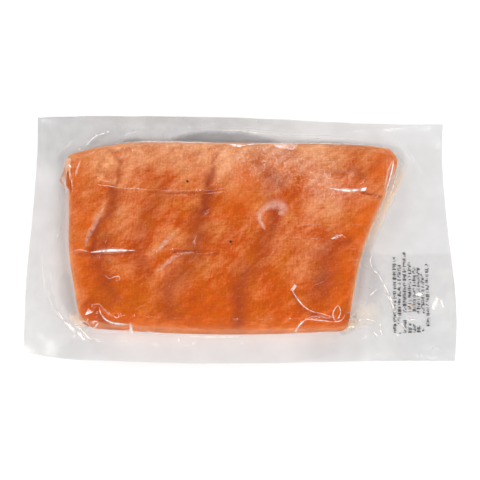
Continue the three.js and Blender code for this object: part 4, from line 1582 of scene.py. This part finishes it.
class SALMON_OT_print(Operator):
    """Makes the block of small plain strokes that stands for the print"""

    bl_idname = "salmon.print"
    bl_label = "Print"

    def execute(self, context):
        skin = film_surface()
        rng = np.random.default_rng(PRINT_SEED)
        parts = []
        for x, start, (empty_from, empty_to) in PRINT_LINES:
            y = start
            while y > PRINT_END:
                size = rng.uniform(PRINT_LEAST, 1) * PRINT_HEIGHT
                wide = rng.choice(PRINT_STROKES)
                shift = rng.uniform(-0.5, 0.5) * (PRINT_HEIGHT - size)
                middle = x + (y - PRINT_LEANS_FROM) * PRINT_LEAN + shift
                low, high = middle - size / 2, middle + size / 2
                rows = sheet(((low, y - wide), (high, y - wide), (high, y), (low, y)), 1)
                if not empty_from < start - y < empty_to:
                    ground = skin.height(rows)
                    base, top = (with_height(rows, ground + away) for away in INK_HEIGHTS)
                    parts.append((*closed_skin(top, [], base), {}))
                y -= wide + rng.choice(PRINT_SPACES, p=PRINT_SPACE_CHANCES)
        finish = plain_finish("print_ink", context.scene.salmon_film.ink, roughness=0.7)
        add_piece("print_marks", *join(parts), finish, "print_ink")
        return {"FINISHED"}


class SALMON_OT_studio(Operator):
    """Makes the floor, the lights and the camera"""

    bl_idname = "salmon.studio"
    bl_label = "Studio"

    def execute(self, context):
        scene = context.scene
        settings = scene.salmon_studio
        mesh = bpy.data.meshes.new("floor")
        corners = FLOOR_REACH * np.array(((-1, -1), (1, -1), (1, 1), (-1, 1)))
        mesh.from_pydata([(x, y, -FLOOR_DROP * MM) for x, y in corners], [], [(0, 1, 2, 3)])
        finish = new_finish("floor")
        mesh.materials.append(finish.done(finish.matt(settings.floor)))
        floor = bpy.data.objects.new("floor", mesh)
        scene.collection.objects.link(floor)

        air = Finish(bpy.data.worlds.new("studio"))
        direction = air.node("ShaderNodeTexCoord", {}, {}, "Generated")
        rise = air.node("ShaderNodeSeparateXYZ", {}, {"Vector": direction}, "Z")
        strength = rise.between(*SKY_BORDER) * (settings.sky - settings.fill) + settings.fill
        light = air.node("ShaderNodeBackground", {}, {"Color": (1, 1, 1, 1), "Strength": strength})
        scene.world = air.done(light, "ShaderNodeOutputWorld")
        for name, turn, height, size, power in LIGHTS:
            turn, height = math.radians(turn), math.radians(height)
            level = math.cos(height)
            place = Vector((math.cos(turn) * level, math.sin(turn) * level, math.sin(height)))
            light = bpy.data.lights.new(name, "AREA")
            light.shape = "RECTANGLE"
            light.size, light.size_y = size
            light.energy = power
            lamp = bpy.data.objects.new(name, light)
            lamp.location = place * LIGHT_DISTANCE
            lamp.rotation_euler = (-place).to_track_quat("-Z", "Y").to_euler()
            scene.collection.objects.link(lamp)

        camera = bpy.data.cameras.new("camera")
        camera.sensor_width = SENSOR_WIDTH
        camera.lens = settings.lens
        eye = bpy.data.objects.new("camera", camera)
        back = Vector((0, -math.cos(settings.elevation), math.sin(settings.elevation)))
        eye.location = Vector(home(VIEW_TARGET)) + back * settings.distance
        eye.rotation_euler = back.to_track_quat("Z", "Y").to_euler()
        scene.collection.objects.link(eye)
        scene.camera = eye
        scene.view_settings.view_transform = "Standard"
        return {"FINISHED"}


OPERATORS = (
    SALMON_OT_portion,
    SALMON_OT_film,
    SALMON_OT_pinches,
    SALMON_OT_juice,
    SALMON_OT_flap,
    SALMON_OT_thread,
    SALMON_OT_specks,
    SALMON_OT_print,
    SALMON_OT_studio,
)


class SALMON_PT_panel(Panel):
    """The settings and the pieces, in the 3D view's sidebar"""

    bl_label = "Salmon pouch"
    bl_space_type = "VIEW_3D"
    bl_region_type = "UI"
    bl_category = "Salmon"

    def draw(self, context):
        for group in (context.scene.salmon, context.scene.salmon_film, context.scene.salmon_studio):
            for name in group.__annotations__:
                self.layout.prop(group, name)
        for operator in OPERATORS:
            self.layout.operator(operator.bl_idname)


CLASSES = (SalmonSettings, FilmSettings, StudioSettings, *OPERATORS, SALMON_PT_panel)


def register():
    """Adds the classes and their settings to Blender."""
    for cls in CLASSES:
        bpy.utils.register_class(cls)
    bpy.types.Scene.salmon = PointerProperty(type=SalmonSettings)
    bpy.types.Scene.salmon_film = PointerProperty(type=FilmSettings)
    bpy.types.Scene.salmon_studio = PointerProperty(type=StudioSettings)


def unregister():
    """Takes the classes and their settings out again."""
    for name in ("salmon", "salmon_film", "salmon_studio"):
        delattr(bpy.types.Scene, name)
    for cls in reversed(CLASSES):
        bpy.utils.unregister_class(cls)


def main():
    """Makes everything in order."""
    register()
    bpy.ops.salmon.portion()
    bpy.ops.salmon.film()
    bpy.ops.salmon.pinches()
    bpy.ops.salmon.juice()
    bpy.ops.salmon.flap()
    bpy.ops.salmon.thread()
    bpy.ops.salmon.specks()
    bpy.ops.salmon.print()
    bpy.ops.salmon.studio()


if __name__ == "__main__":
    main()
